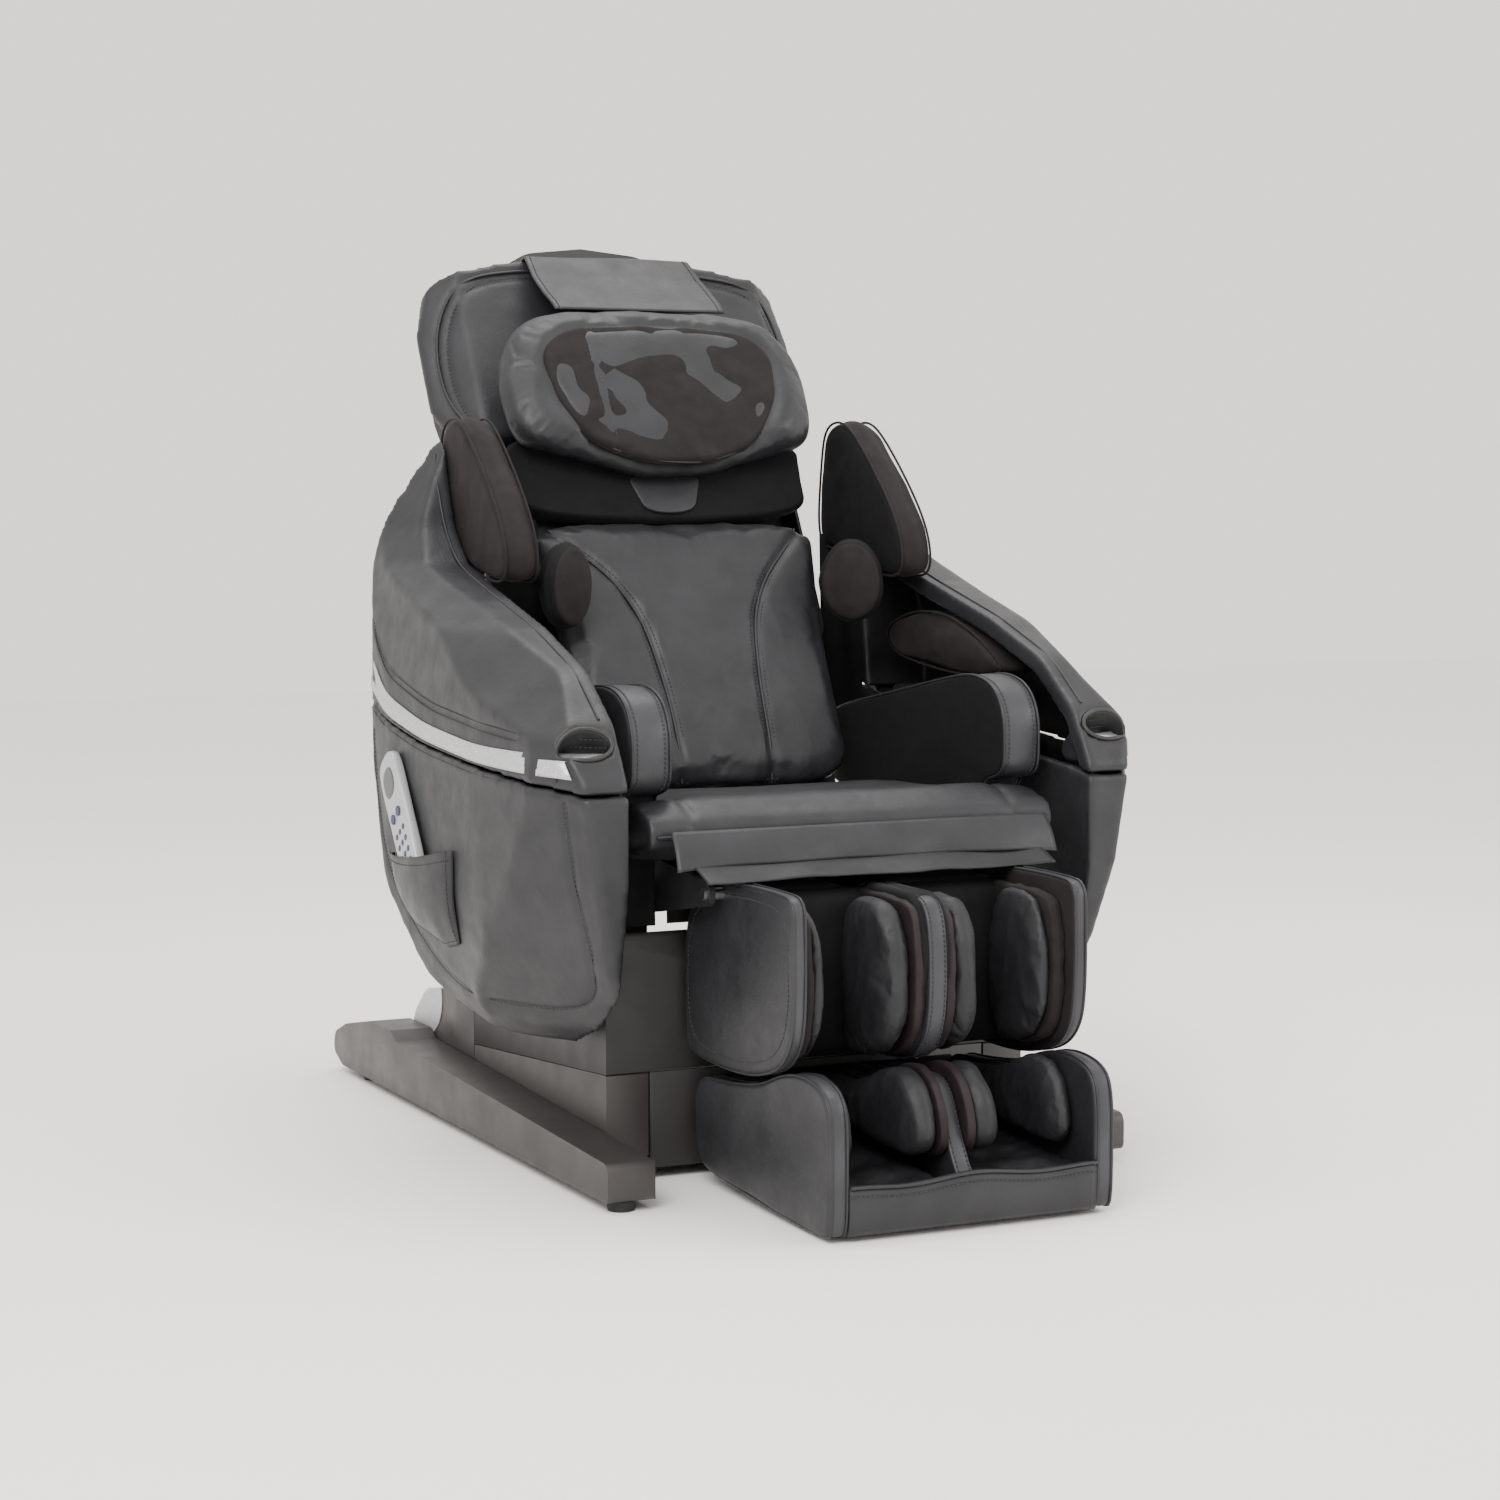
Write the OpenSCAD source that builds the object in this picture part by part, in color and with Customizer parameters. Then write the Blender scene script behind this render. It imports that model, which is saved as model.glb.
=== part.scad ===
// Massage chair: fixed base, tilting arm shells, reclining backrest with a
// roller carriage, swinging leg rest with a sliding foot unit, and a handset.
// Millimetres. +Z is up, the chair faces -Y, and the origin is on the floor
// below the middle of the chair.

/* [Overall] */
// Height of the seat cushion's front roll above the floor
seat_h = 500; // [460:1:600]
// Width of the seat cushion between the hip pads
seat_w = 472; // [400:1:570]
// Width of one arm shell
arm_w = 124; // [110:1:150]
// Length of the backrest, from the seat to the top of its cap
back_len = 957; // [930:1:1150]
// Lean of the backrest from vertical, in degrees
back_lean = 28; // [22:0.5:32]

/* [Seat] */
// Thickness of one hip pad
hip_pad_t = 62; // [50:1:75]
// Thickness of the seat cushion
seat_t = 55; // [45:1:66]
// How far the front roll stands in front of the frame
roll_depth = 110; // [90:1:125]

/* [Backrest] */
// Thickness of the back pad
back_pad_t = 45; // [35:1:54]
// Depth of the backrest from pad face to rear cover
back_depth = 190; // [170:1:230]
// Thickness of the pillow
pillow_t = 62; // [50:1:75]

/* [Leg rest] */
// Width of the calf unit
leg_w = 418; // [350:1:440]
// Width of the middle wall between the two legs
mid_wall_w = 42; // [34:1:50]
// Thickness of one inflated airbag
airbag_t = 46; // [38:1:55]

/* [Base] */
// Width of the pedestal
base_w = 620; // [600:1:640]
// Width of one runner
runner_w = 64; // [55:1:75]
// Wall of the moulded base covers
cover_wall = 4; // [3:0.5:6]
// Diameter of the transport wheels
wheel_d = 78; // [60:1:84]

/* [Shafts] */
// Radius of the hip hinge shafts
hip_shaft_r = 10; // [8:0.5:12]
// Radius of the knee hinge pins
knee_pin_r = 8; // [6:0.5:9]
// Radius of the foot unit's slide rods
slide_rod_r = 6; // [5:0.5:7]
// Radial clearance of a running fit
run_gap = 0.05; // [0.02:0.01:0.1]

/* [Hidden] */
$fn = 64;

gap = 4;                                  // plain gap between neighbouring pieces

// Planes across the chair, measured out from the middle
seat_x = seat_w / 2;
hip_x0 = seat_x + gap;
hip_x1 = hip_x0 + hip_pad_t;
arm_x0 = hip_x1 + 32;                     // inner face of an arm shell
arm_x1 = arm_x0 + arm_w;                  // outermost point of an arm shell
base_x = base_w / 2;
rail_x = base_x - 62;                     // inner side of a chassis rail
side_plate_x = seat_x - 11;               // inner side of a seat side plate
side_plate_t = 8;

// Hinges, seen from the side as [y, z]
hip = [65, seat_h - 120];
knee = [-395, seat_h - 108];

// Seat
seat_top = seat_h - 6;
seat_front_y = -262;
seat_back_y = 12;
frame_top = seat_top - 16 - seat_t;

// Base heights
skirt_y0 = -257;
skirt_y1 = 228;
seam_front_z = 144;
seam_rear_z = 106;
rail_z = 42;
rail_h = 40;
skirt_top = seat_h - 170;
tie_top = 30;                             // top of the ties that run under the side covers

// ---------------------------------------------------------------- helpers
function unit(v) = v / norm(v);
// Points that round the corner p1 between p0 and p2 with radius r
function corner(p0, p1, p2, r, n = 6) =
    let (u = unit(p0 - p1), v = unit(p2 - p1), half = acos(max(-1, min(1, u * v))) / 2)
    r <= 0 || half > 88 ? [p1] :
    let (reach = min(r / tan(half), 0.48 * norm(p0 - p1), 0.48 * norm(p2 - p1)),
         rr = reach * tan(half), c = p1 + unit(u + v) * rr / sin(half),
         a = p1 + u * reach - c, b = p1 + v * reach - c,
         a0 = atan2(a[1], a[0]), d = atan2(b[1], b[0]) - a0,
         sweep = d > 180 ? d - 360 : d < -180 ? d + 360 : d)
    [for (i = [0 : n]) c + rr * [cos(a0 + sweep * i / n), sin(a0 + sweep * i / n)]];
// Closed outline from [x, y, corner radius] triples
function rounded(pts, n = 6) =
    let (k = len(pts), q = [for (p = pts) [p[0], p[1]]])
    [for (i = [0 : k - 1]) each corner(q[(i + k - 1) % k], q[i], q[(i + 1) % k], pts[i][2], n)];
// Triples moved inwards by t; the outline runs anticlockwise
function inset(pts, t) =
    let (k = len(pts), q = [for (p = pts) [p[0], p[1]]])
    [for (i = [0 : k - 1])
        let (a = unit(q[i] - q[(i + k - 1) % k]), b = unit(q[(i + 1) % k] - q[i]),
             na = [-a[1], a[0]], nb = [-b[1], b[0]], m = unit(na + nb),
             p = q[i] + m * t / max(0.5, m * na))
        [p[0], p[1], max(0, pts[i][2] - t)]];
// Triples moved by [dx, dy]
function moved(pts, d) = [for (p = pts) [p[0] + d[0], p[1] + d[1], p[2]]];
// Outline and its mirror image across the second axis, as one closed outline
function both_sides(pts) =
    concat(pts, [for (i = [len(pts) - 1 : -1 : 0]) if (pts[i][0] > 0)
        [-pts[i][0], pts[i][1], pts[i][2]]]);

// Side outline [y, z] made solid from x0 to x1
module side_slab(x0, x1, pts) {
    translate([x0, 0, 0]) rotate([90, 0, 90]) linear_extrude(x1 - x0) polygon(rounded(pts));
}
// The same slab on both sides of the chair
module both(left = true, right = true) {
    if (right) children();
    if (left) mirror([1, 0, 0]) children();
}
module block(x0, x1, y0, y1, z0, z1) {
    translate([x0, y0, z0]) cube([x1 - x0, y1 - y0, z1 - z0]);
}
// Cylinder along X from x0 to x1 at [y, z]
module x_rod(x0, x1, at, r) {
    translate([x0, at[0], at[1]]) rotate([0, 90, 0]) cylinder(h = x1 - x0, r = r);
}
// Square tube across the chair
module cross_tube(half, y, z, size) {
    difference() {
        block(-half, half, y, y + size, z, z + size);
        block(-half - 1, half + 1, y + 3, y + size - 3, z + 3, z + size - 3);
    }
}

// ---------------------------------------------------------------- base
runner_x1 = base_x + runner_w + 2;
runner_side = [
    [-418, 14, 10], [630, 12, 30], [675, 30, 18], [664, 60, 18], [610, 80, 40], [500, 101, 40],
    [405, 102, 14], [378, 89, 10], [-340, 66, 4], [-418, 64, 14]];
module runner(side) {
    color([0.33, 0.31, 0.31]) both(side == "left", side == "right") difference() {
        union() {
            side_slab(base_x + 2, runner_x1, runner_side);
            block(base_x - 2, base_x + 30, -410, -345, 14, 62);
        }
        // room under the runner for its moulded ribs
        block(base_x + 8, runner_x1 - 6, -330, 600, 0, 40);
        for (y = [-392, 560])
            translate([(base_x + runner_x1) / 2 + 4, y, 0]) cylinder(h = 40, r = 5);
    }
}
module runner_left() { runner("left"); }
module runner_right() { runner("right"); }

module runner_feet() {
    color([0.09, 0.09, 0.09]) both() for (y = [-392, 560])
        translate([(base_x + runner_x1) / 2 + 4, y, 0]) {
            cylinder(h = y > 0 ? 11.9 : 13.6, r1 = 17, r2 = 19);
            cylinder(h = 34, r = 5);
        }
}

module base_frame() {
    color([0.2, 0.2, 0.21]) {
        both() {
            // chassis rail with the wheel fork at its rear end
            difference() {
                block(rail_x, rail_x + 40, -240, 385, rail_z, rail_z + rail_h);
                block(rail_x + 3, rail_x + 37, -241, 386, rail_z + 3, rail_z + rail_h - 3);
            }
            for (x = [rail_x, rail_x + 36])
                block(x, x + 4, 380, 460, rail_z + 2, rail_z + rail_h - 2);
            x_rod(rail_x, rail_x + 40, [440, wheel_z], 5);
            // posts up to the seat side plates
            for (y = [-215, 110])
                block(side_plate_x + side_plate_t, side_plate_x + side_plate_t + 40, y, y + 30,
                    rail_z + rail_h, seat_h - 112);
            block(rail_x - 25, rail_x + 15, -60, -30, rail_z + rail_h, 160);
            // ties from the chassis to the runners, under the side covers
            for (y = [-240, 150]) {
                block(rail_x, rail_x + 40, y, y + 60, 14, rail_z);
                block(rail_x, base_x + 2, y, y + 60, 14, tie_top);
            }
        }
        cross_tube(rail_x, -240, rail_z, rail_h);
        block(-rail_x - 12, rail_x + 12, -225, 355, rail_z - 3, rail_z + 1);
        cross_tube(rail_x, 330, rail_z, rail_h);
        cross_tube(rail_x - 20, -60, 130, 30);
        // brackets for the two linear drives
        for (x = [-16, 12]) {
            drive_bracket(recline_x + x, recline_foot, rail_z + rail_h);
            drive_bracket(x, leg_foot, 160);
        }
    }
}
module drive_bracket(x, at, z0) {
    difference() {
        side_slab(x, x + 4, [[at[0] - 16, z0, 0], [at[0] + 16, z0, 0], [at[0] + 14, at[1] + 12, 10],
            [at[0] - 14, at[1] + 12, 10]]);
        x_rod(x - 1, x + 5, at, drive_pin_r);
    }
}

// Outline of a side cover: a wedge whose top seam falls to the rear
module side_cover(side) {
    color([0.36, 0.34, 0.34]) both(side == "left", side == "right") difference() {
        side_slab(base_x - 60, base_x, [[skirt_y0, tie_top + 2, 4], [skirt_y1 - 1, tie_top + 2, 4],
            [skirt_y1 - 1, seam_rear_z - 1, 4], [skirt_y0, seam_front_z - 1, 4]]);
        block(base_x - 61, base_x - cover_wall, skirt_y0 + cover_wall, skirt_y1, 0, 200);
    }
}
module side_cover_left() { side_cover("left"); }
module side_cover_right() { side_cover("right"); }

module front_cover() {
    w = base_x - 62;
    color([0.27, 0.26, 0.26]) difference() {
        block(-w, w, skirt_y0, skirt_y0 + 12, 16, seam_front_z - 1);
        block(-w + 6, w - 6, skirt_y0 + cover_wall, skirt_y0 + 13, 22, seam_front_z - 7);
    }
}

// Upper pedestal cover, open below, behind and around the leg drive
module base_skirt() {
    color([0.2, 0.19, 0.2]) difference() {
        side_slab(-base_x, base_x, [[skirt_y0, seam_front_z, 0], [skirt_y1 - 1, seam_rear_z, 0],
            [skirt_y1 - 1, skirt_top - 40, 10], [skirt_y1 - 60, skirt_top, 20],
            [skirt_y0, skirt_top, 12]]);
        block(-base_x + cover_wall, base_x - cover_wall, skirt_y0 + cover_wall,
            skirt_y1 - 1 - cover_wall, 0, seat_h);
        block(-40, 40, skirt_y0 - 1, skirt_y0 + 20, skirt_top - 80, seat_h);
        block(-side_plate_x + 20, side_plate_x - 20, skirt_y1 - 40, skirt_y1 + 10,
            skirt_top - 130, seat_h);
    }
}

rear_side = [
    [skirt_y1, 17, 6], [478, 17, 20], [500, 44, 30], [482, 112, 60], [425, 158, 60],
    [290, 176, 80], [skirt_y1, 160, 10]];
module rear_cover() {
    color([0.3, 0.29, 0.29]) difference() {
        side_slab(-base_x, base_x, rear_side);
        side_slab(-base_x + cover_wall, base_x - cover_wall,
            inset(rear_side, cover_wall));
        block(-base_x + cover_wall, base_x - cover_wall, skirt_y1 - 1, 480, 0, 30);
        block(-base_x + cover_wall, base_x - cover_wall, skirt_y1 - 1, skirt_y1 + 10, 0, 150);
        trim_band(0.3);
        block(inlet_x - 24, inlet_x + 58, 470, 510, 34, 66);
    }
}
// Band that the silver trim fills, one on each outer edge of the rear cover
module trim_band(extra) {
    both() intersection() {
        side_slab(base_x - 26 - extra, base_x + 1, rear_side);
        side_slab(base_x - 26 - extra, base_x + 1, [[520, 50 - extra, 0], [520, 200, 0],
            [372 - extra, 200, 0], [352 - extra, 128, 60], [458 - extra, 50 - extra, 30]]);
    }
}
module rear_trim() {
    color([0.72, 0.72, 0.73]) difference() {
        trim_band(0);
        side_slab(-base_x + 2, base_x - 2, inset(rear_side, 2));
    }
}

wheel_z = wheel_d / 2 + 6;
module wheel(side) {
    color([0.15, 0.15, 0.15]) both(side == "left", side == "right") difference() {
        union() {
            x_rod(rail_x + 7, rail_x + 33, [440, wheel_z], wheel_d / 2);
            x_rod(rail_x + 5, rail_x + 35, [440, wheel_z], 11);
        }
        x_rod(rail_x, rail_x + 40, [440, wheel_z], 5 + run_gap);
        for (x = [rail_x + 6, rail_x + 29]) difference() {
            x_rod(x, x + 5, [440, wheel_z], wheel_d / 2 - 9);
            x_rod(x - 1, x + 6, [440, wheel_z], 14);
        }
    }
}
module wheel_left() { wheel("left"); }
module wheel_right() { wheel("right"); }

// Mains inlet and its rocker switch, in the back of the rear cover
inlet_x = 80;
module power_inlet() {
    color([0.1, 0.1, 0.1]) difference() {
        block(inlet_x - 23.5, inlet_x + 57.5, 472, 500, 34.5, 65.5);
        difference() {
            block(inlet_x - 14, inlet_x + 14, 480, 501, 39, 61);
            for (x = [-7, 0, 7]) block(inlet_x + x - 1, inlet_x + x + 1, 479, 495, 47, 53);
        }
        block(inlet_x + 27.5, inlet_x + 52.5, 480, 501, 41.5, 58.5);
    }
}
module power_switch() {
    color([0.55, 0.08, 0.08]) side_slab(inlet_x + 28, inlet_x + 52, [[484, 46, 3], [486, 43.5, 1],
        [500, 45, 2], [497, 50, 4], [502, 55, 2], [486, 56.5, 1], [484, 54, 3]]);
}

module control_box() {
    color([0.24, 0.3, 0.26]) block(-40, 170, 250, 328, rail_z + 1, 124);
}
module air_pump() {
    color([0.42, 0.42, 0.44]) {
        block(-220, -60, 100, 210, 50, 126);
        for (y = [130, 180]) translate([-140, y, 126]) cylinder(h = 18, r = 12);
        for (x = [-210, -70]) for (y = [110, 200]) translate([x, y, rail_z + 1]) cylinder(h = 8, r = 6);
    }
}

module hinge_pins() {
    color([0.6, 0.6, 0.62]) both() {
        x_rod(back_bracket_x - 4, arm_x0 - 2, hip, hip_shaft_r);
        x_rod(leg_w / 2 - 10, side_plate_x + side_plate_t + 4, knee, knee_pin_r);
    }
    // foot pins of the two drives
    color([0.6, 0.6, 0.62]) {
        x_rod(recline_x - 16, recline_x + 16, recline_foot, drive_pin_r);
        x_rod(-16, 16, leg_foot, drive_pin_r);
    }
}

// ---------------------------------------------------------------- seat
module seat_frame() {
    color([0.22, 0.22, 0.23]) {
        both() difference() {
            side_slab(side_plate_x, side_plate_x + side_plate_t, [
                [knee[0] - 15, knee[1] - 14, 14], [knee[0] + 40, knee[1] - 22, 20],
                [-240, seat_h - 150, 20], [hip[0] + 10, seat_h - 150, 20], [hip[0] + 90, hip[1] - 20, 18],
                [hip[0] + 90, hip[1] + 12, 20], [hip[0] - 10, hip[1] + 28, 20],
                [-240, frame_top - 1, 20], [knee[0] - 15, knee[1] + 15, 14]]);
            x_rod(side_plate_x - 1, side_plate_x + side_plate_t + 1, hip, hip_shaft_r);
            x_rod(side_plate_x - 1, side_plate_x + side_plate_t + 1, knee, knee_pin_r);
        }
        for (y = [-245, -70])
            cross_tube(side_plate_x, y, frame_top - 42, 30);
    }
}

// Side profile of the cushion: a flat seat that ends in the front roll
seat_side = [
    [seat_back_y, frame_top, 8], [seat_back_y, seat_top - 16, 14], [seat_front_y, seat_top, 200],
    [seat_front_y - 0.45 * roll_depth, seat_h, 60], [seat_front_y - roll_depth, seat_h - 18, 26],
    [seat_front_y - roll_depth, seat_h - 52, 14], [seat_front_y - 0.6 * roll_depth, seat_h - 60, 14],
    [seat_front_y, frame_top, 10]];
module seat_cushion() {
    color([0.25, 0.25, 0.27]) {
        intersection() {
            side_slab(-seat_x, seat_x, seat_side);
            block(-seat_x, seat_x, seat_front_y - 1, seat_back_y, 0, seat_h + 50);
        }
        intersection() {
            side_slab(-roll_x, roll_x, seat_side);
            block(-roll_x, roll_x, seat_front_y - roll_depth - 1, seat_front_y - 0.5, 0, seat_h + 50);
        }
    }
}
roll_x = hip_x1 - 8;

flap_top = seat_h - 30;
flap_low = knee[1] + 30;
flap_y = seat_front_y - roll_depth - 8;
module seat_flap() {
    color([0.27, 0.27, 0.29]) side_slab(-roll_x + 26, roll_x - 26, [
        [flap_y + 3, flap_top, 0], [flap_y - 1, flap_top, 0],
        [flap_y - 22, flap_low, 0], [flap_y - 18, flap_low, 0]]);
}

hip_side = [
    [212, 450, 10], [214, 560, 25], [-20, 612, 100], [-180, 645, 60], [-262, 647, 30],
    [-318, 605, 40], [-318, 522, 25], [-260, 508, 8], [-260, 450, 8]];
module hip_pads() {
    color([0.2, 0.2, 0.21]) both()
        side_slab(hip_x0, hip_x1, moved(hip_side, [0, seat_h - 500]));
}

// ---------------------------------------------------------------- drives
// Each drive is a motor with a tube, pinned to the chassis, and a rod whose
// fork straddles a lever. The fork's own pin is left out.
recline_x = 80;
recline_foot = [-215, 150];
recline_eye = [hip[0] + 20, hip[1] - 110];
leg_foot = [-60, knee[1] - 142];
leg_eye = [knee[0] + 60, knee[1] - 65];

// Draws its children along +X' from point a towards point b in the side plane
module along(x, a, b) {
    translate([x, a[0], a[1]])
        rotate([atan2(b[1] - a[1], b[0] - a[0]), 0, 0]) children();
}
// The tube ends at tube_end from the foot pin, and the rod starts at rod_start
module drive_motor(x, a, b, tube_end) {
    color([0.3, 0.31, 0.33]) difference() {
        along(x, a, b) {
            rotate([-90, 0, 0]) translate([0, 0, 26]) cylinder(h = tube_end - 26, r = 15);
            rotate([-90, 0, 0]) translate([0, 0, 26]) cylinder(h = 50, r = 24);
            translate([-9, -12, -10]) cube([18, 40, 20]);
        }
        along(x, a, b) rotate([-90, 0, 0]) translate([0, 0, 82])
            cylinder(h = tube_end, r = drive_rod_r + run_gap);
        x_rod(x - 20, x + 20, a, drive_pin_r + run_gap);
    }
}
module drive_rod(x, a, b, rod_start) {
    reach = norm(b - a);
    color([0.65, 0.65, 0.67]) difference() {
        along(x, a, b) {
            rotate([-90, 0, 0]) translate([0, 0, rod_start])
                cylinder(h = reach - 36 - rod_start, r = drive_rod_r);
            for (s = [-14, 8]) translate([s, reach - 38, -11]) cube([6, 50, 22]);
            translate([-14, reach - 40, -11]) cube([28, 8, 22]);
        }
        x_rod(x - 30, x + 30, b, 6);
    }
}
drive_pin_r = 5;
drive_rod_r = 9;
recline_reach = norm(recline_eye - recline_foot);
leg_reach = norm(leg_eye - leg_foot);
recline_stroke = 68;                      // the rod draws in as the back goes down
leg_stroke = 118;                         // the rod runs out as the leg rest rises
module recline_motor() {
    drive_motor(recline_x, recline_foot, recline_eye, recline_reach - recline_stroke - 44);
}
module recline_rod() {
    drive_rod(recline_x, recline_foot, recline_eye, recline_reach - recline_stroke - 84);
}
module leg_motor() { drive_motor(0, leg_foot, leg_eye, leg_reach - 44); }
module leg_rod() { drive_rod(0, leg_foot, leg_eye, leg_reach - leg_stroke - 74); }

// ---------------------------------------------------------------- backrest
// Children are drawn in the backrest's own frame: X across, Y into the back
// (depth) and Z up along it, from the foot of the back pad's face.
back_foot = [10, seat_top - 17];
module in_back() {
    translate([0, back_foot[0], back_foot[1]]) rotate([-back_lean, 0, 0]) children();
}
// Front outline [x, height] made solid from depth n0 to n1
module back_slab(n0, n1, pts) {
    translate([0, n1, 0]) rotate([90, 0, 0]) linear_extrude(n1 - n0) polygon(rounded(pts));
}
neck_s = back_len - 517;                  // foot of the neck band
pillow_s = back_len - 479;                // lowest point of the pillow
wing_s = back_len - 397;                  // foot of the wings
wing_top = back_len - 97;
narrow_x = side_plate_x - 4;                  // half width of the back between the hip pads
chest_x = hip_x1 - 40;                    // half width between the shoulder pads
wing_x = hip_x1 + 1;                      // half width across the wings
back_bracket_x = 190;
guide_r = 5;                              // guide rods of the carriage

module back_frame() {
    tube = 30;
    color([0.22, 0.22, 0.24]) {
        in_back() {
            both() difference() {
                block(160, 190, 62, 92, 0, wing_top - 20);
                block(163, 187, 65, 89, -1, wing_top - 19);
            }
            for (s = [10, wing_top - 50]) block(-160, 160, 62, 92, s, s + tube);
            // guide rods of the roller carriage
            both() translate([145, 100, 20]) cylinder(h = wing_top - 50, r = guide_r);
            for (s = [10, wing_top - 50]) both() block(135, 155, 92, 106, s, s + tube);
        }
        // hinge brackets and the lever of the recline drive
        both() difference() {
            side_slab(back_bracket_x, back_bracket_x + 8, [
                [hip[0] - 22, hip[1] - 18, 20], [hip[0] + 22, hip[1] - 18, 20],
                [hip[0] + 90, hip[1] + 128, 10], [hip[0] + 52, hip[1] + 144, 10]]);
            x_rod(back_bracket_x - 1, back_bracket_x + 9, hip, hip_shaft_r + run_gap);
        }
        difference() {
            side_slab(recline_x - 5, recline_x + 5, [
                [recline_eye[0] - 18, recline_eye[1] - 16, 16], [recline_eye[0] + 18, recline_eye[1] - 16, 16],
                [hip[0] + 54, hip[1] + 70, 6], [hip[0] + 8, hip[1] + 78, 6]]);
            x_rod(recline_x - 6, recline_x + 6, recline_eye, 6);
        }
    }
}

shell_front = [
    [narrow_x, 0, 20], [narrow_x, 230, 60], [chest_x, 300, 60], [chest_x, wing_s + 30, 40],
    [wing_x - 28, wing_s + 110, 60], [wing_x - 28, wing_top - 95, 60], [wing_x - 60, wing_top - 12, 50],
    [120, wing_top + 14, 60]];
shell_n0 = back_depth - 80;
module back_shell() {
    wall = 5;
    outline = both_sides(shell_front);
    color([0.2, 0.2, 0.21]) in_back() difference() {
        union() {
            back_slab(shell_n0, back_depth - 25, outline);
            back_slab(back_depth - 25.5, back_depth, inset(outline, 22));
        }
        back_slab(shell_n0 - 1, back_depth - 25 - wall, inset(outline, wall));
        back_slab(back_depth - 26 - wall, back_depth - wall, inset(outline, 22 + wall));
        // mouth at the foot for the hinge brackets and the drive's lever
        block(-back_bracket_x - 20, back_bracket_x + 20, shell_n0 - 2, back_depth - 30, -60, 30);
    }
}

pad_front = [[-205, 6, 12], [205, 6, 12], [212, 240, 60], [232, neck_s - 2, 16],
    [-232, neck_s - 2, 16], [-212, 240, 60]];
module back_pad() {
    color([0.24, 0.24, 0.26]) in_back() back_slab(0, back_pad_t, pad_front);
}

module neck_band() {
    color([0.08, 0.08, 0.09]) in_back() back_slab(10, 48, [
        [-222, neck_s, 10], [222, neck_s, 10], [240, wing_s + 22, 20], [-240, wing_s + 22, 20]]);
}

// Upholstered wings: a broad plate whose sides are swept back
wing_half = [[chest_x, wing_s + 30, 20], [wing_x, wing_s + 92, 60], [wing_x, wing_top - 80, 50],
    [wing_x - 22, wing_top - 2, 30], [150, wing_top + 28, 40]];
module back_wings() {
    color([0.24, 0.24, 0.26]) in_back() difference() {
        back_slab(50, shell_n0 - 1, both_sides(wing_half));
        // pocket behind for the frame, its rails and the carriage
        block(-192, 192, 56, shell_n0, wing_s - 10, wing_top - 18);
        // swept sides
        both() translate([wing_x - 60, 50, wing_s]) rotate([0, 0, 38])
            translate([0, -80, -20]) cube([120, 80, wing_top - wing_s + 100]);
    }
}

pillow_half = [[0, pillow_s, 60], [82, pillow_s + 14, 60], [205, pillow_s + 48, 20],
    [236, pillow_s + 62, 14], [248, pillow_s + 130, 60], [240, pillow_s + 205, 50],
    [190, pillow_s + 262, 60], [95, pillow_s + 282, 60]];
module pillow() {
    color([0.27, 0.27, 0.29]) in_back() {
        difference() {
            back_slab(8 - pillow_t, 8, both_sides(pillow_half));
            back_slab(7 - pillow_t, 18 - pillow_t, inset(both_sides(pillow_panel_half), -1));
        }
        // strap that carries the pillow over the top of the backrest
        side_slab(-134, 134, [[-14, pillow_s + 270, 2], [-4, pillow_s + 268, 2],
            [46, wing_top + 4, 20], [49.5, wing_top + 29.5, 4], [116, wing_top + 29.5, 0],
            [116, wing_top + 35.5, 0], [44, wing_top + 35.5, 12], [38, wing_top + 8, 20]]);
    }
}
pillow_panel_half = [[0, pillow_s + 8, 60], [72, pillow_s + 20, 60], [138, pillow_s + 58, 60],
    [176, pillow_s + 130, 60], [184, pillow_s + 185, 40], [150, pillow_s + 226, 40],
    [80, pillow_s + 236, 60]];
module pillow_panel() {
    color([0.2, 0.17, 0.17]) in_back()
        back_slab(2 - pillow_t, 18 - pillow_t, both_sides(pillow_panel_half));
}

module top_cap() {
    color([0.09, 0.09, 0.1]) in_back() difference() {
        back_slab(121, 152, both_sides([[158, wing_top + 15, 4], [150, wing_top + 52, 60],
            [92, wing_top + 86, 60], [0.5, back_len, 60]]));
        back_slab(125, 153, both_sides([[152, wing_top + 8, 4], [144, wing_top + 48, 60],
            [88, wing_top + 81, 60], [0.5, wing_top + 93, 60]]));
    }
}

// ---------------------------------------------------------------- carriage
car_s = 330;                              // rest height of the carriage's middle
arm_pivot = [104, car_s];                 // [depth, height] of the kneading arms' pivots
roller_n = 90;
roller_r = 25;
roller_reach = 72;
module carriage_frame() {
    color([0.35, 0.36, 0.38]) in_back() {
        difference() {
            union() {
                block(-130, 130, 122, 130, car_s - 80, car_s + 80);
                both() block(130, 158, 90, 130, car_s - 60, car_s + 60);
                both() for (x = [40, 62]) block(x, x + 6, 92, 122, car_s - 16, car_s + 16);
                // kneading motor and its gearbox
                translate([0, 0, car_s - 60]) translate([0, 146, 0]) cylinder(h = 90, r = 17);
                block(-30, 30, 130, 160, car_s + 30, car_s + 70);
            }
            both() translate([145, 100, car_s - 100]) cylinder(h = 200, r = guide_r + run_gap);
            translate([-80, arm_pivot[0], arm_pivot[1]]) rotate([0, 90, 0]) cylinder(h = 160, r = 6 + run_gap);
            block(152, 160, 80, 94, car_s - 90, car_s + 90);
            block(-160, -152, 80, 94, car_s - 90, car_s + 90);
        }
    }
}
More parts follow.
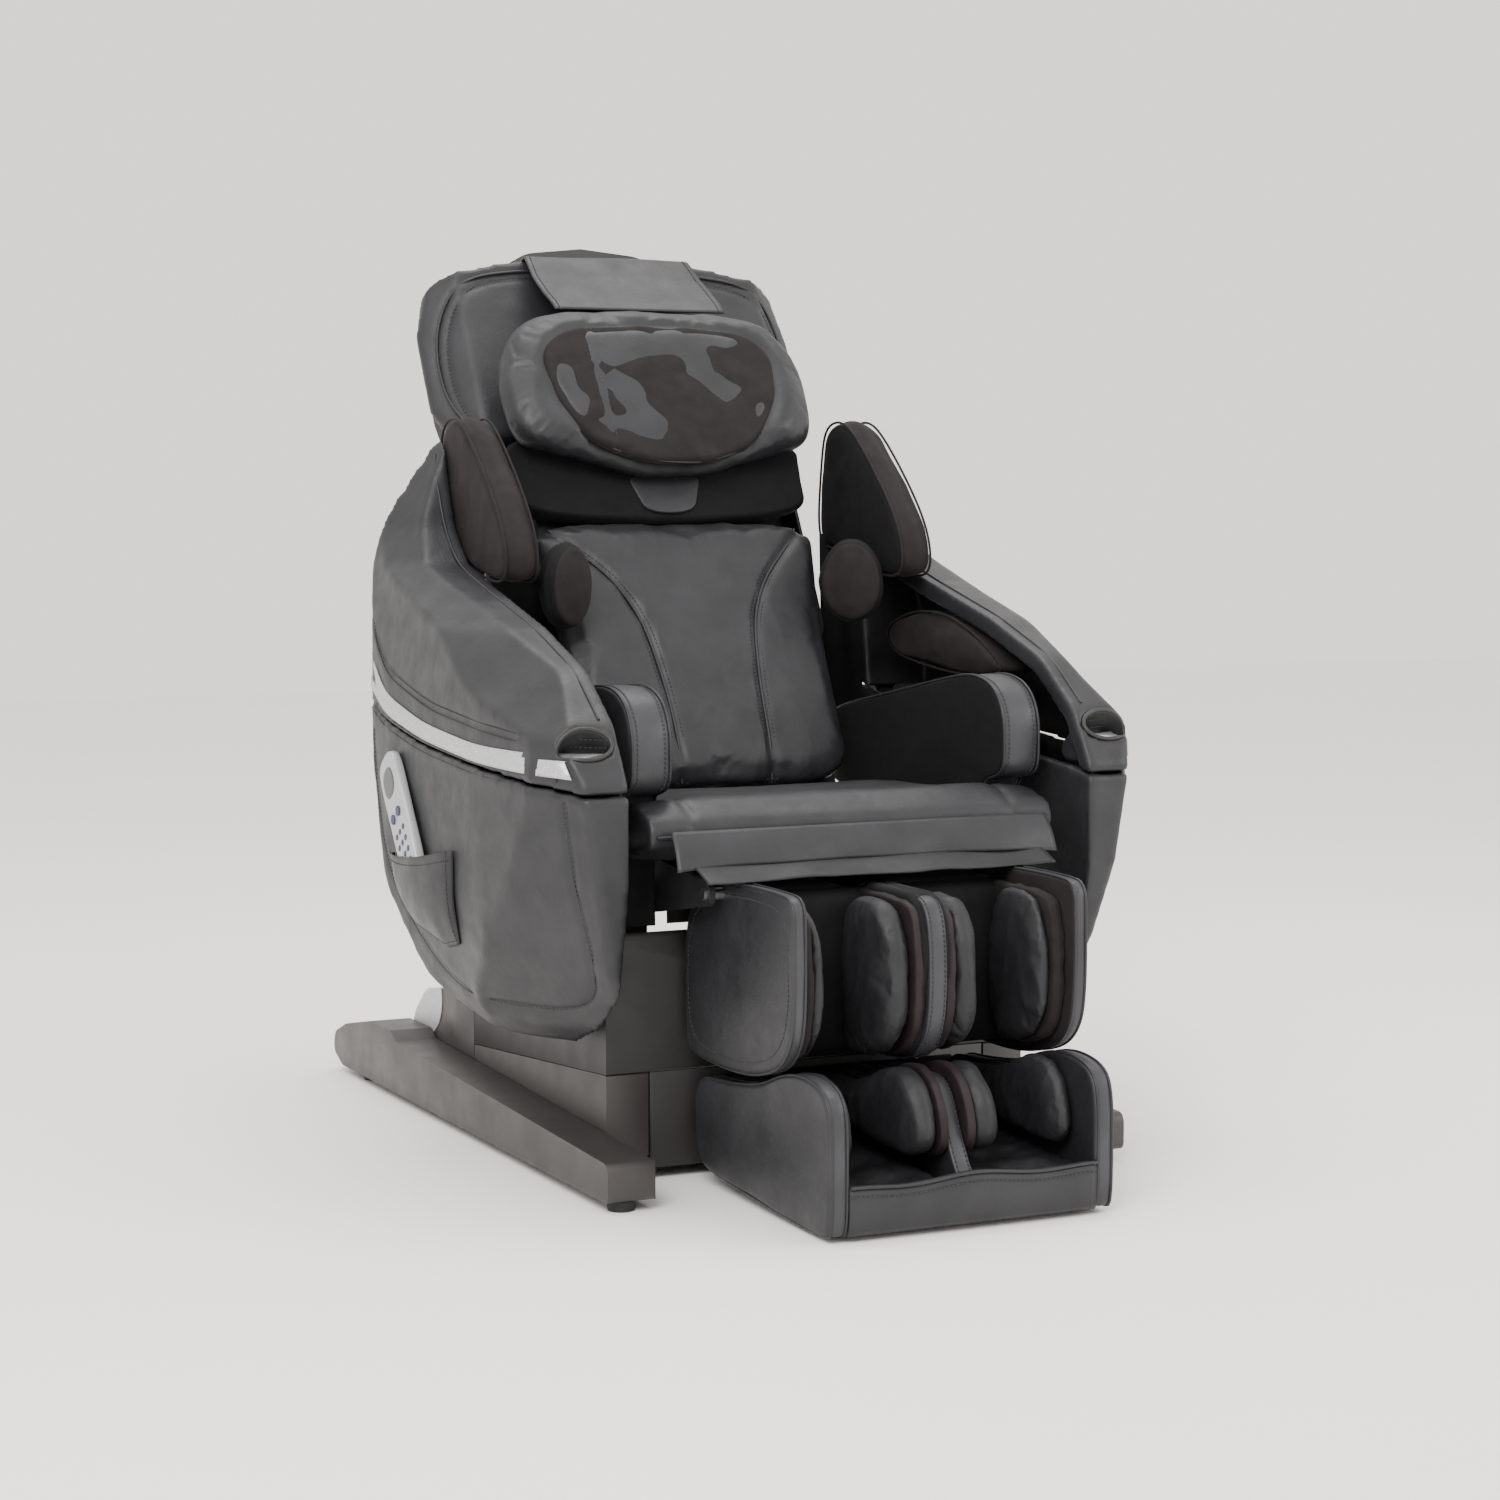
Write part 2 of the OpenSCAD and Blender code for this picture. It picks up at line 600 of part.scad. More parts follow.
module knead_arm(side) {
    color([0.55, 0.56, 0.58]) in_back() both(side == "left", side == "right") {
        translate([50, arm_pivot[0], arm_pivot[1]]) rotate([0, 90, 0]) cylinder(h = 8, r = 13);
        translate([38, arm_pivot[0], arm_pivot[1]]) rotate([0, 90, 0]) cylinder(h = 32, r = 6);
        translate([51, 0, 0]) rotate([90, 0, 90]) linear_extrude(6) polygon(rounded([
            [arm_pivot[0] - 6, car_s - 14, 6], [arm_pivot[0] + 8, car_s, 8], [arm_pivot[0] - 6, car_s + 14, 6],
            [roller_n + 8, car_s + roller_reach + 8, 8], [roller_n - 8, car_s + roller_reach + 8, 8],
            [roller_n - 6, car_s, 8],
            [roller_n - 8, car_s - roller_reach - 8, 8], [roller_n + 8, car_s - roller_reach - 8, 8]]));
        for (s = [-1, 1]) translate([57, roller_n, car_s + s * roller_reach])
            rotate([0, 90, 0]) cylinder(h = 30, r = 4);
    }
}
module knead_arm_left() { knead_arm("left"); }
module knead_arm_right() { knead_arm("right"); }
module roller(side, s) {
    color([0.5, 0.47, 0.42]) in_back() both(side == "left", side == "right")
        translate([60, roller_n, car_s + s * roller_reach]) rotate([0, 90, 0])
            rotate_extrude() polygon(rounded([[4 + run_gap, 0, 0], [roller_r, 0, 8],
                [roller_r, 24, 8], [4 + run_gap, 24, 0]]));
}
module roller_upper_left() { roller("left", 1); }
module roller_lower_left() { roller("left", -1); }
module roller_upper_right() { roller("right", 1); }
module roller_lower_right() { roller("right", -1); }

// ---------------------------------------------------------------- leg rest
leg_x = leg_w / 2;
calf_top = knee[1] + 16;
calf_y0 = -592;
calf_y1 = -280;
calf_side = [
    [calf_y1, calf_top, 12], [calf_y0, calf_top, 20], [calf_y0, 240, 50], [-530, 182, 60],
    [-440, 166, 80], [-300, 170, 30], [calf_y1, 190, 20]];
rod_x = 120;
rod_y = -302;
leg_slot = 32;                            // half width of the slot for the leg drive

module calf_frame() {
    color([0.24, 0.24, 0.26]) {
        difference() {
            union() {
                block(-leg_x + 11, leg_x - 11, rod_y - 4, rod_y + 4, 190, calf_top - 6);
                both() translate([rod_x, rod_y, 186]) cylinder(h = calf_top - 200, r = 10);
            }
            block(-leg_slot, leg_slot, rod_y - 20, rod_y + 20, 232, calf_top + 1);
            both() translate([rod_x, rod_y, 180]) cylinder(h = calf_top, r = slide_rod_r + run_gap);
        }
        difference() {
            side_slab(-5, 5, [[rod_y + 4, 200, 4], [rod_y + 4, 228, 4], [leg_eye[0] + 16, leg_eye[1] + 14, 14],
                [leg_eye[0] - 16, leg_eye[1] + 14, 14], [leg_eye[0] - 12, 214, 6]]);
            x_rod(-6, 6, leg_eye, 6);
        }
    }
}
module calf_sides() {
    color([0.27, 0.27, 0.29]) both() difference() {
        side_slab(leg_x - 10, leg_x, calf_side);
        x_rod(leg_x - 11, leg_x + 1, knee, knee_pin_r + run_gap);
    }
}
module calf_body() {
    color([0.16, 0.15, 0.16]) difference() {
        union() {
            side_slab(-leg_x + 11, leg_x - 11, [[-313, calf_top - 16, 8], [-430, calf_top - 16, 20],
                [-430, 178, 20], [-313, 184, 8]]);
            // wall between the two legs
            side_slab(-mid_wall_w / 2, mid_wall_w / 2, [[-425, calf_top - 10, 4],
                [-560, calf_top - 10, 60], [-582, 330, 90], [-560, 196, 50], [-425, 178, 4]]);
        }
        block(-leg_slot, leg_slot, -400, -300, 170, seat_h);
        both() x_rod(leg_x - 30, leg_x, knee, 14);
    }
}
bag_gap = 1;
outer_bag_x = leg_x - 11;                 // outer face of the outer airbags
module calf_bag(x0, x1) {
    side_slab(x0, x1, [[-432, calf_top - 22, 20], [-540, calf_top - 16, 60], [-578, 350, 60],
        [-578, 250, 60], [-520, 186, 50], [-432, 186, 20]]);
}
module calf_airbags() {
    color([0.2, 0.16, 0.18]) both() {
        calf_bag(mid_wall_w / 2 + bag_gap, mid_wall_w / 2 + bag_gap + airbag_t);
        calf_bag(outer_bag_x - airbag_t, outer_bag_x);
    }
}

// ---------------------------------------------------------------- foot unit
foot_x = leg_x - 9;
foot_y0 = -675;
foot_side = [
    [-288, 142, 8], [-289, 46, 10], [-325, 24, 12], [-560, 8, 60], [foot_y0, 6, 6],
    [foot_y0, 184, 55], [-600, 190, 60], [-480, 156, 80]];
foot_wall = 32;
module foot_shell() {
    color([0.27, 0.27, 0.29]) difference() {
        side_slab(-foot_x, foot_x, foot_side);
        // room for the feet between the side walls, above the floor and toe strip
        difference() {
            side_slab(-foot_x + foot_wall, foot_x - foot_wall, [[-319, 300, 0], [foot_y0 - 10, 300, 0],
                [foot_y0 - 10, 62, 0], [foot_y0 + 15, 62, 4], [foot_y0 + 15, 28, 2], [-319, 36, 8]]);
            side_slab(-mid_wall_w / 2, mid_wall_w / 2, [[-330, 20, 0], [-330, 152, 20], [-470, 158, 60],
                [-570, 170, 60], [-640, 70, 30], [foot_y0 + 16, 62, 4], [foot_y0 + 16, 20, 0]]);
        }
        // pocket for the slide plate and its rods
        block(-rod_x - 22, rod_x + 22, rod_y - 8, rod_y + 7, 50.5, 200);
    }
}
module foot_frame() {
    color([0.6, 0.6, 0.62]) {
        block(-rod_x - 20, rod_x + 20, rod_y - 7, rod_y + 4, 51, 120);
        both() translate([rod_x, rod_y, 60]) cylinder(h = calf_top - 26 - 60, r = slide_rod_r);
    }
}
module sole_pads() {
    x0 = mid_wall_w / 2 + airbag_t / 2 + 3;
    x1 = foot_x - foot_wall - 1;
    color([0.17, 0.17, 0.18]) both()
        side_slab(x0, x1, [[-322, 40, 6], [-322, 86, 16], [-520, 62, 80],
            [foot_y0 + 18, 54, 8], [foot_y0 + 18, 30, 2]]);
}
module foot_bag(x0, x1) {
    side_slab(x0, x1, [[-330, 92, 14], [-340, 148, 20], [-470, 156, 40], [-545, 192, 30],
        [-600, 180, 40], [-640, 90, 40], [-600, 70, 20]]);
}
module foot_airbags() {
    color([0.2, 0.17, 0.19]) both() {
        foot_bag(mid_wall_w / 2 + bag_gap, mid_wall_w / 2 + bag_gap + airbag_t - 6);
        foot_bag(foot_x - foot_wall - bag_gap - airbag_t * 0.55, foot_x - foot_wall - bag_gap);
    }
}

// ---------------------------------------------------------------- arms
// Outlines are [y, z] or [x, z] from the hip hinge and the arm's inner face.
arm_side = [
    [-412, -190, 45], [-190, -200, 150], [10, -142, 180], [126, -34, 180], [198, 136, 250],
    [222, 320, 250], [231, 500, 60], [219, 588, 22], [196, 584, 14], [180, 526, 50],
    [158, 468, 60], [104, 415, 60], [-5, 384, 200], [-185, 338, 200], [-323, 290, 130],
    [-410, 226, 70], [-457, 150, 60], [-457, 20, 300]];
// The same outline with its tip cut off, for the hollow inside
arm_low = concat([for (i = [0 : 5]) arm_side[i]], [[229, 470, 20], [158, 468, 20]],
    [for (i = [11 : 17]) arm_side[i]]);
function arm_plan(x_in) = [
    [x_in, -470, 0], [arm_w - 58, -470, 60], [arm_w - 30, -416, 90], [arm_w - 6, -240, 200],
    [arm_w, -60, 200], [arm_w - 1, 100, 150], [arm_w - 12, 200, 80], [arm_w - 34, 240, 30], [x_in, 240, 0]];
function arm_front(x_in) = [
    [x_in, -210, 0], [arm_w * 0.45, -206, 60], [arm_w * 0.82, -150, 80], [arm_w * 0.97, -20, 150],
    [arm_w, 150, 150], [arm_w * 0.99, 250, 200], [arm_w * 0.84, 400, 200],
    [arm_w * 0.5, 545, 120], [arm_w * 0.12, 600, 40], [x_in, 600, 0]];
// Outlines [across, z] seen from half left and half right, which slant the top
// of the arm and its lower front corner, and round its rear corner
slant = 25.5;
arm_grow = 0.9 * (arm_w - 124);
from_left = [
    [-400, -215, 0], [100, -215, 60], [157, -168, 60], [203, -84, 80], [233, 21, 100], [249, 133, 80],
    [252, 205, 30], [200, 259, 60], [138, 332, 80], [85, 366, 60], [14, 416, 60], [-24, 468, 80],
    [-64, 543, 80], [-108, 620, 20], [-400, 620, 0]];
from_right = [
    [-400, -215, 0], [40, -215, 60], [88, -169, 60], [130, -105, 80], [159, -35, 100], [184, 79, 100],
    [194, 200, 100], [193, 304, 100], [189, 393, 80], [178, 468, 60], [156, 527, 50], [116, 592, 30],
    [40, 640, 0], [-400, 640, 0]];
module arm_view(turn, pts, t) {
    grown = [for (p = pts) [p[0] + (p[0] > -399 ? arm_grow : 0), p[1], p[2]]];
    rotate([0, 0, turn]) translate([0, 700, 0]) rotate([90, 0, 0]) linear_extrude(1400)
        polygon(rounded(t > 0 ? inset(grown, t) : grown));
}
// Solid shape of the right arm, moved inwards by t, from the plane x_in outwards
module arm_solid(t = 0, side = arm_side, x_in = 0) {
    translate([arm_x0, hip[0], hip[1]]) intersection() {
        side_slab(x_in, arm_w + 1, side);
        translate([0, 0, -300]) linear_extrude(1000)
            polygon(rounded(t > 0 ? inset(arm_plan(x_in - t), t) : arm_plan(x_in)));
        translate([0, 400, 0]) rotate([90, 0, 0]) linear_extrude(1000)
            polygon(rounded(t > 0 ? inset(arm_front(x_in - t), t) : arm_front(x_in)));
        arm_view(-slant, from_left, t);
        arm_view(slant, from_right, t);
    }
}
// Line of the seam between upper cover and lower panel, rear to front
seam = [[300, 256], [198, 221], [137, 204], [-27, 179], [-219, 163], [-396, 148], [-480, 136]];
function seam_band(lo, hi) = concat(
    [for (p = seam) [p[0], p[1] + lo, 0]],
    [for (i = [len(seam) - 1 : -1 : 0]) [seam[i][0], seam[i][1] + hi, 0]]);
module seam_slab(lo, hi, x0 = -40) {
    translate([arm_x0, hip[0], hip[1]]) side_slab(x0, arm_w + 40, seam_band(lo, hi));
}

arm_skin = 12;
arm_rim = 26;
port_at = [arm_w * 0.36, -409, 190];       // middle of the hand opening, from the hip hinge
port_w = 68;
port_h = 40;
port_tilt = 48;
// Oval plug along the hand opening's axis, grown by g
module port_plug(g, depth, out) {
    r = port_h / 2 + g;
    translate([arm_x0 + port_at[0], hip[0] + port_at[1], hip[1] + port_at[2]])
        rotate([port_tilt, 0, 0]) translate([0, 0, -depth]) {
            for (s = [-1, 1]) translate([s * (port_w - port_h) / 2, 0, 0]) cylinder(h = depth + out, r = r);
            translate([-(port_w - port_h) / 2, -r, 0]) cube([port_w - port_h, 2 * r, depth + out]);
        }
}
module arm_cover(side) {
    color([0.26, 0.26, 0.28]) both(side == "left", side == "right") difference() {
        union() {
            difference() {
                intersection() {
                    arm_solid();
                    seam_slab(2, 600);
                }
                arm_solid(arm_skin, inset(arm_low, arm_rim), -20);
            }
            // boss behind the hand opening
            intersection() {
                arm_solid();
                seam_slab(2, 600);
                port_plug(5, 46, 80);
            }
        }
        port_plug(0, 42, 90);
        difference() {
            seam_slab(15.7, 36.3, arm_w * 0.45);
            arm_solid(3, inset(arm_side, 3), -20);
            translate([0, hip[0] - 570, hip[1]]) cube([900, 170, 300]);
        }
    }
}
module arm_cover_left() { arm_cover("left"); }
module arm_cover_right() { arm_cover("right"); }

module arm_stripe(side) {
    color([0.72, 0.72, 0.74]) both(side == "left", side == "right") difference() {
        intersection() {
            arm_solid();
            seam_slab(16, 36, arm_w * 0.46);
        }
        arm_solid(2.7, inset(arm_side, 2.7), -20);
        translate([0, hip[0] - 570, hip[1]]) cube([900, 170.5, 300]);
    }
}
module arm_stripe_left() { arm_stripe("left"); }
module arm_stripe_right() { arm_stripe("right"); }

module arm_panel(side) {
    color([0.24, 0.24, 0.26]) both(side == "left", side == "right") difference() {
        union() {
            difference() {
                intersection() {
                    arm_solid();
                    seam_slab(-500, -2);
                }
                arm_solid(arm_skin, inset(arm_low, arm_skin), 20);
            }
            // hub that turns on the hip shaft
            x_rod(side_plate_x + side_plate_t + 42, arm_x0 + 1, hip, hip_shaft_r + 12);
            x_rod(arm_x0 - 5, arm_x0 + 1, hip, 45);
            x_rod(arm_x0, arm_x0 + 12, hip, 30);
        }
        x_rod(side_plate_x, arm_x0 - 1, hip, hip_shaft_r + run_gap);
    }
}
module arm_panel_left() { arm_panel("left"); }
module arm_panel_right() { arm_panel("right"); }

// Soft pads of one arm: shoulder, upper arm and the pair that holds the forearm
shoulder_side = [[255, 430, 20], [240, 570, 30], [225, 615, 20], [165, 622, 20], [105, 585, 50],
    [-5, 480, 60], [-32, 415, 40], [-15, 385, 20], [70, 395, 40], [180, 425, 40]];
upper_pad_w = 92;
upper_pad_h = 118;
pad_depth = 76;                           // depth of the forearm pads across the arm
module arm_pads(side) {
    color([0.2, 0.17, 0.17]) both(side == "left", side == "right") {
        translate([0, hip[0], hip[1]])
            side_slab(hip_x1 - 26, arm_x0, shoulder_side);
        translate([seat_x - 13, hip[0] + 20, hip[1] + 385]) rotate([90, 0, -30])
            linear_extrude(42, center = true) polygon(rounded([
                [-upper_pad_w / 2, -upper_pad_h / 2, 46], [upper_pad_w / 2, -upper_pad_h / 2, 46],
                [upper_pad_w / 2, upper_pad_h / 2, 46], [-upper_pad_w / 2, upper_pad_h / 2, 46]], 10));
        translate([arm_x0 - 12, hip[0], hip[1]]) {
            side_slab(0, pad_depth, [[130, 308, 24], [-5, 350, 120], [-180, 300, 60], [-232, 268, 18],
                [-180, 252, 20], [0, 262, 60], [118, 276, 20]]);
            side_slab(0, pad_depth, [[100, 238, 16], [-220, 200, 16], [-220, 170, 8], [100, 207, 8]]);
        }
    }
}
module arm_pads_left() { arm_pads("left"); }
module arm_pads_right() { arm_pads("right"); }

// ---------------------------------------------------------------- handset
handset_l = 205;
handset_w = 68;
handset_t = 16;
handset_lean = 36;
handset_foot = [-48, -14];                // lower end's middle, [y, z] from the hip hinge
handset_x = arm_x1 + 1.5;                 // inner face of the handset
module in_handset() {
    mirror([1, 0, 0]) translate([handset_x, hip[0] + handset_foot[0], hip[1] + handset_foot[1]])
        rotate([-handset_lean, 0, 0]) children();
}
// Room for the handset and its way out of the pocket, before it is mirrored
module handset_room(g) {
    translate([handset_x - g, hip[0] + handset_foot[0], hip[1] + handset_foot[1]])
        rotate([-handset_lean, 0, 0])
            block(0, handset_t + 2 * g, -handset_w / 2 - g, handset_w / 2 + g, -g, handset_l + 160);
}
module handset() {
    color([0.66, 0.67, 0.68]) in_handset() difference() {
        rotate([90, 0, 90]) linear_extrude(handset_t) polygon(rounded([
            [-handset_w / 2 + 6, 0, 16], [handset_w / 2 - 6, 0, 16], [handset_w / 2, 130, 60],
            [handset_w / 2 - 3, handset_l, 22], [-handset_w / 2 + 3, handset_l, 22], [-handset_w / 2, 130, 60]]));
        // window of the display
        block(handset_t - 2, handset_t + 1, -21, 21, 140, 182);
        for (y = [-12, 12]) translate([handset_t - 5, y, 112]) rotate([0, 90, 0])
            cylinder(h = 10, r = 7.3);
    }
}
module key(y) {
    color([0.2, 0.24, 0.34]) in_handset() translate([handset_t - 3, y, 112]) rotate([0, 90, 0])
        cylinder(h = 3.8, r = 7);
}
module key_start() { key(-12); }
module key_stop() { key(12); }

pocket_side = [[80, 18, 6], [-160, 44, 6], [-158, -80, 10], [-115, -92, 30], [45, -50, 30]];
module side_pocket() {
    sheet = 1.5;
    outer_x = handset_x + handset_t + 0.4 + sheet;
    room = [for (p = pocket_side) [p[0] + (p[0] > 0 ? -3 : 3), p[1] + (p[1] > 0 ? 20 : 3), 4]];
    color([0.22, 0.22, 0.24]) mirror([1, 0, 0]) translate([0, hip[0], hip[1]]) difference() {
        side_slab(arm_x1 - 50, outer_x, pocket_side);
        side_slab(arm_x1 - 51, outer_x - sheet, room);
        translate([0, -hip[0], -hip[1]]) {
            arm_solid();
            handset_room(0.4);
        }
    }
}

// ---------------------------------------------------------------- drawing
base_frame();
runner_left();
runner_right();
runner_feet();
side_cover_left();
side_cover_right();
front_cover();
base_skirt();
rear_cover();
rear_trim();
wheel_left();
wheel_right();
power_inlet();
power_switch();
control_box();
air_pump();
hinge_pins();
seat_frame();
seat_cushion();
seat_flap();
hip_pads();
recline_motor();
recline_rod();
leg_motor();
leg_rod();
back_frame();
back_shell();
back_pad();
neck_band();
back_wings();
pillow();
pillow_panel();
top_cap();
carriage_frame();
knead_arm_left();
knead_arm_right();
roller_upper_left();
roller_lower_left();
roller_upper_right();
roller_lower_right();
calf_frame();
calf_sides();
calf_body();
calf_airbags();
foot_frame();
foot_shell();
sole_pads();
foot_airbags();
arm_cover_left();
arm_cover_right();
arm_panel_left();
arm_panel_right();
arm_stripe_left();
arm_stripe_right();
arm_pads_left();
arm_pads_right();
side_pocket();
handset();
key_start();
key_stop();
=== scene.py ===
# %% [markdown]
# # A massage chair, piece by piece
# The chair's hard parts and joints come ready made from a CAD model. This
# lesson dresses them: cushions, leather, piping and stitches are built here,
# and every piece is told which moving body it rides on.

# %% Load the frame
import math
import bpy
import bmesh
import numpy as np
from mathutils import Vector, Matrix, noise
from mathutils.bvhtree import BVHTree
from mathutils.kdtree import KDTree


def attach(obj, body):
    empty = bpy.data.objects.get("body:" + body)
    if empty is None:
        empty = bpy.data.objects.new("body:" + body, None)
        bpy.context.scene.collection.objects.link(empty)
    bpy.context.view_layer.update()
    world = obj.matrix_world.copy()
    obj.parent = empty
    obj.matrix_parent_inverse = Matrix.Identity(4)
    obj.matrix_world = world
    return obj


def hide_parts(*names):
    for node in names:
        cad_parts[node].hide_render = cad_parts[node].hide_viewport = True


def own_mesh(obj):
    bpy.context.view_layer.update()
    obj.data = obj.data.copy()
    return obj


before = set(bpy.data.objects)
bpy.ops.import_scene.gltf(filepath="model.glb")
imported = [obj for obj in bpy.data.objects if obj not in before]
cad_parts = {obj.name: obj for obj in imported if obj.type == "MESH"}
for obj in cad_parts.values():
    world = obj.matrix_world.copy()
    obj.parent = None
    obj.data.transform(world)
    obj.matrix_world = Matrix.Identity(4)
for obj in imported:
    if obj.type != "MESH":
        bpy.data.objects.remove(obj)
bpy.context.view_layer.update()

# %% [markdown]
# ## Where things are
# The backrest leans by 28 degrees, so its cushions are drawn in its own
# coordinates: across, into the back, and up along it. The arms and legs are
# drawn as side outlines. Two small helpers turn millimetres into places.

# %% Places
LEAN = math.radians(28)
BACK_FOOT = (10.0, 477.0)
HIP = (65.0, 380.0)


def on_back(across, up, depth):
    """Backrest coordinates in millimetres to a place in metres."""
    s, c = math.sin(LEAN), math.cos(LEAN)
    return (across / 1000, (BACK_FOOT[0] + s * up + c * depth) / 1000,
            (BACK_FOOT[1] + c * up - s * depth) / 1000)


def on_side(y, z, x):
    """A point of a side outline, in millimetres, at the distance x from the middle."""
    return (x / 1000, y / 1000, z / 1000)


print("top of the back pad:", on_back(0, 438, 0))

# %% [markdown]
# ## Finishes
# Each finish starts from what the real one is. Colours are given as sRGB hex
# and turned to linear light by one function. Grain and weave are real sizes in
# millimetres, drawn a little coarser where the true size would not show.

# %% Colour and node helpers
def linear(code):
    """sRGB hex to a linear colour."""
    parts = [int(code[i:i + 2], 16) / 255 for i in (1, 3, 5)]
    return [p / 12.92 if p <= 0.04045 else ((p + 0.055) / 1.055) ** 2.4 for p in parts] + [1.0]


def add(tree, kind, links=(), **settings):
    """Adds a node; names that are inputs set the input, other names set the node."""
    node = tree.nodes.new(kind)
    for key, value in settings.items():
        label = key.replace("_", " ")
        if label in node.inputs:
            node.inputs[label].default_value = value
        else:
            setattr(node, key, value)
    for name, source in links:
        tree.links.new(source, node.inputs[name])
    return node


def new_finish(name, rough, **settings):
    """A material with its Principled node and the object's own coordinates."""
    finish = bpy.data.materials.new(name)
    finish.use_nodes = True
    tree = finish.node_tree
    skin = tree.nodes["Principled BSDF"]
    skin.inputs["Roughness"].default_value = rough
    for key, value in settings.items():
        skin.inputs[key.replace("_", " ")].default_value = value
    return finish, tree, skin, add(tree, "ShaderNodeTexCoord").outputs["Object"]


def tint(tree, where, skin, dark, light, size_mm, detail=4.0):
    """Colour that wanders between two tones over patches of the given size."""
    patches = add(tree, "ShaderNodeTexNoise", [("Vector", where)], Scale=1000 / size_mm, Detail=detail)
    ramp = add(tree, "ShaderNodeValToRGB", [("Fac", patches.outputs["Fac"])])
    ramp.color_ramp.elements[0].position, ramp.color_ramp.elements[1].position = 0.3, 0.7
    ramp.color_ramp.elements[0].color, ramp.color_ramp.elements[1].color = linear(dark), linear(light)
    tree.links.new(ramp.outputs["Color"], skin.inputs["Base Color"])
    return ramp


def bump(tree, height, distance_mm, strength=1.0, before=None):
    """A bump of the given depth, on top of another one where there is one."""
    links = [("Height", height)] + ([("Normal", before.outputs["Normal"])] if before else [])
    return add(tree, "ShaderNodeBump", links, Strength=strength, Distance=distance_mm / 1000)


def roughen(tree, where, skin, low, high, size_mm):
    """Roughness that varies over patches, as handled surfaces do."""
    patches = add(tree, "ShaderNodeTexNoise", [("Vector", where)], Scale=1000 / size_mm, Detail=3.0)
    spread = add(tree, "ShaderNodeMapRange", [("Value", patches.outputs["Fac"])])
    for key, value in zip(("From Min", "From Max", "To Min", "To Max"), (0.3, 0.7, low, high)):
        spread.inputs[key].default_value = value
    tree.links.new(spread.outputs["Result"], skin.inputs["Roughness"])


# %% [markdown]
# Coated leather: a polyurethane skin on a knit, embossed with a pebble grain of
# about 1 mm. The grain is drawn at 1.8 mm so that it shows. Fine creases run
# over it, and the sheen is broken by slightly rougher patches.

# %% Leather
def leather(name, dark, light, rough=(0.40, 0.54), grain_mm=1.8):
    finish, tree, skin, where = new_finish(name, 0.46, IOR=1.48, Specular_IOR_Level=0.42)
    tint(tree, where, skin, dark, light, 60)
    roughen(tree, where, skin, rough[0], rough[1], 35)
    pebble = add(tree, "ShaderNodeTexVoronoi", [("Vector", where)], Scale=1000 / grain_mm,
                 feature="SMOOTH_F1", Smoothness=0.6)
    crease = add(tree, "ShaderNodeTexNoise", [("Vector", where)], Scale=1000 / 14, Detail=5.0,
                 Roughness=0.62, Distortion=0.6)
    first = bump(tree, pebble.outputs["Distance"], 0.35, 0.35)
    last = bump(tree, crease.outputs["Fac"], 1.1, 0.45, first)
    tree.links.new(last.outputs["Normal"], skin.inputs["Normal"])
    return finish


charcoal = leather("coated_leather_charcoal", "#1f1f22", "#28282b")
# A lighter copy of the same leather: painted light on bands that face the light.
charcoal_painted_light = leather("coated_leather_painted_light", "#2b2b2e", "#37373b")
# A darker copy of the same leather: painted shade on parts that lie in shade.
charcoal_painted_shade = leather("coated_leather_shaded", "#17171a", "#1f1f22", (0.5, 0.62))
print("leathers:", charcoal.name, charcoal_painted_light.name, charcoal_painted_shade.name)

# %% [markdown]
# The pads that touch the body are a brushed knit: dark brown on the pads, near
# black on inner faces, and a thin coated cloth with a maroon cast on airbags.
# A weave of two crossed waves gives the thread, sheen gives the nap.

# %% Fabrics
def knit(name, dark, light, thread_mm, sheen, rough=0.86, depth=0.5):
    finish, tree, skin, where = new_finish(name, rough, Sheen_Weight=sheen, Sheen_Roughness=0.45,
                                           Specular_IOR_Level=0.25)
    skin.inputs["Sheen Tint"].default_value = linear("#8a7f80")
    tint(tree, where, skin, dark, light, 22, 6.0)
    rows = [add(tree, "ShaderNodeTexWave", [("Vector", where)], Scale=1000 / (thread_mm * 20),
                bands_direction=axis, Distortion=0.4) for axis in ("X", "Z")]
    cross = add(tree, "ShaderNodeMath", operation="MAXIMUM")
    for i, row in enumerate(rows):
        tree.links.new(row.outputs["Fac"], cross.inputs[i])
    nap = add(tree, "ShaderNodeTexNoise", [("Vector", where)], Scale=1000 / 9, Detail=6.0, Roughness=0.7)
    first = bump(tree, cross.outputs["Value"], 0.25, 0.3)
    last = bump(tree, nap.outputs["Fac"], depth, 0.4, first)
    tree.links.new(last.outputs["Normal"], skin.inputs["Normal"])
    return finish


brown = knit("brushed_knit_dark_brown", "#191415", "#201b1c", 1.6, 0.10)
black = knit("knit_near_black", "#08080a", "#0e0e10", 1.4, 0.03)
maroon = knit("coated_airbag_cloth", "#1a1215", "#24191d", 1.2, 0.06, 0.6, 0.7)
thread = knit("polyester_thread", "#2c2c30", "#3a3a3e", 0.6, 0.03, 0.6)
print("fabrics:", brown.name, black.name, maroon.name, thread.name)

# %% [markdown]
# Hard parts: injection-moulded ABS with a fine spark texture, silver paint with
# metallic flake, powder-coated and zinc-plated steel, moulded rubber, and the
# black glass of the handset's display.

# %% Hard finishes
def moulded(name, dark, light, rough=(0.42, 0.55), grain_mm=1.2, depth=0.12, **settings):
    finish, tree, skin, where = new_finish(name, rough[0], IOR=1.53, **settings)
    tint(tree, where, skin, dark, light, 120)
    roughen(tree, where, skin, rough[0], rough[1], 50)
    grain = add(tree, "ShaderNodeTexNoise", [("Vector", where)], Scale=1000 / grain_mm, Detail=2.0)
    last = bump(tree, grain.outputs["Fac"], depth, 0.5)
    tree.links.new(last.outputs["Normal"], skin.inputs["Normal"])
    return finish


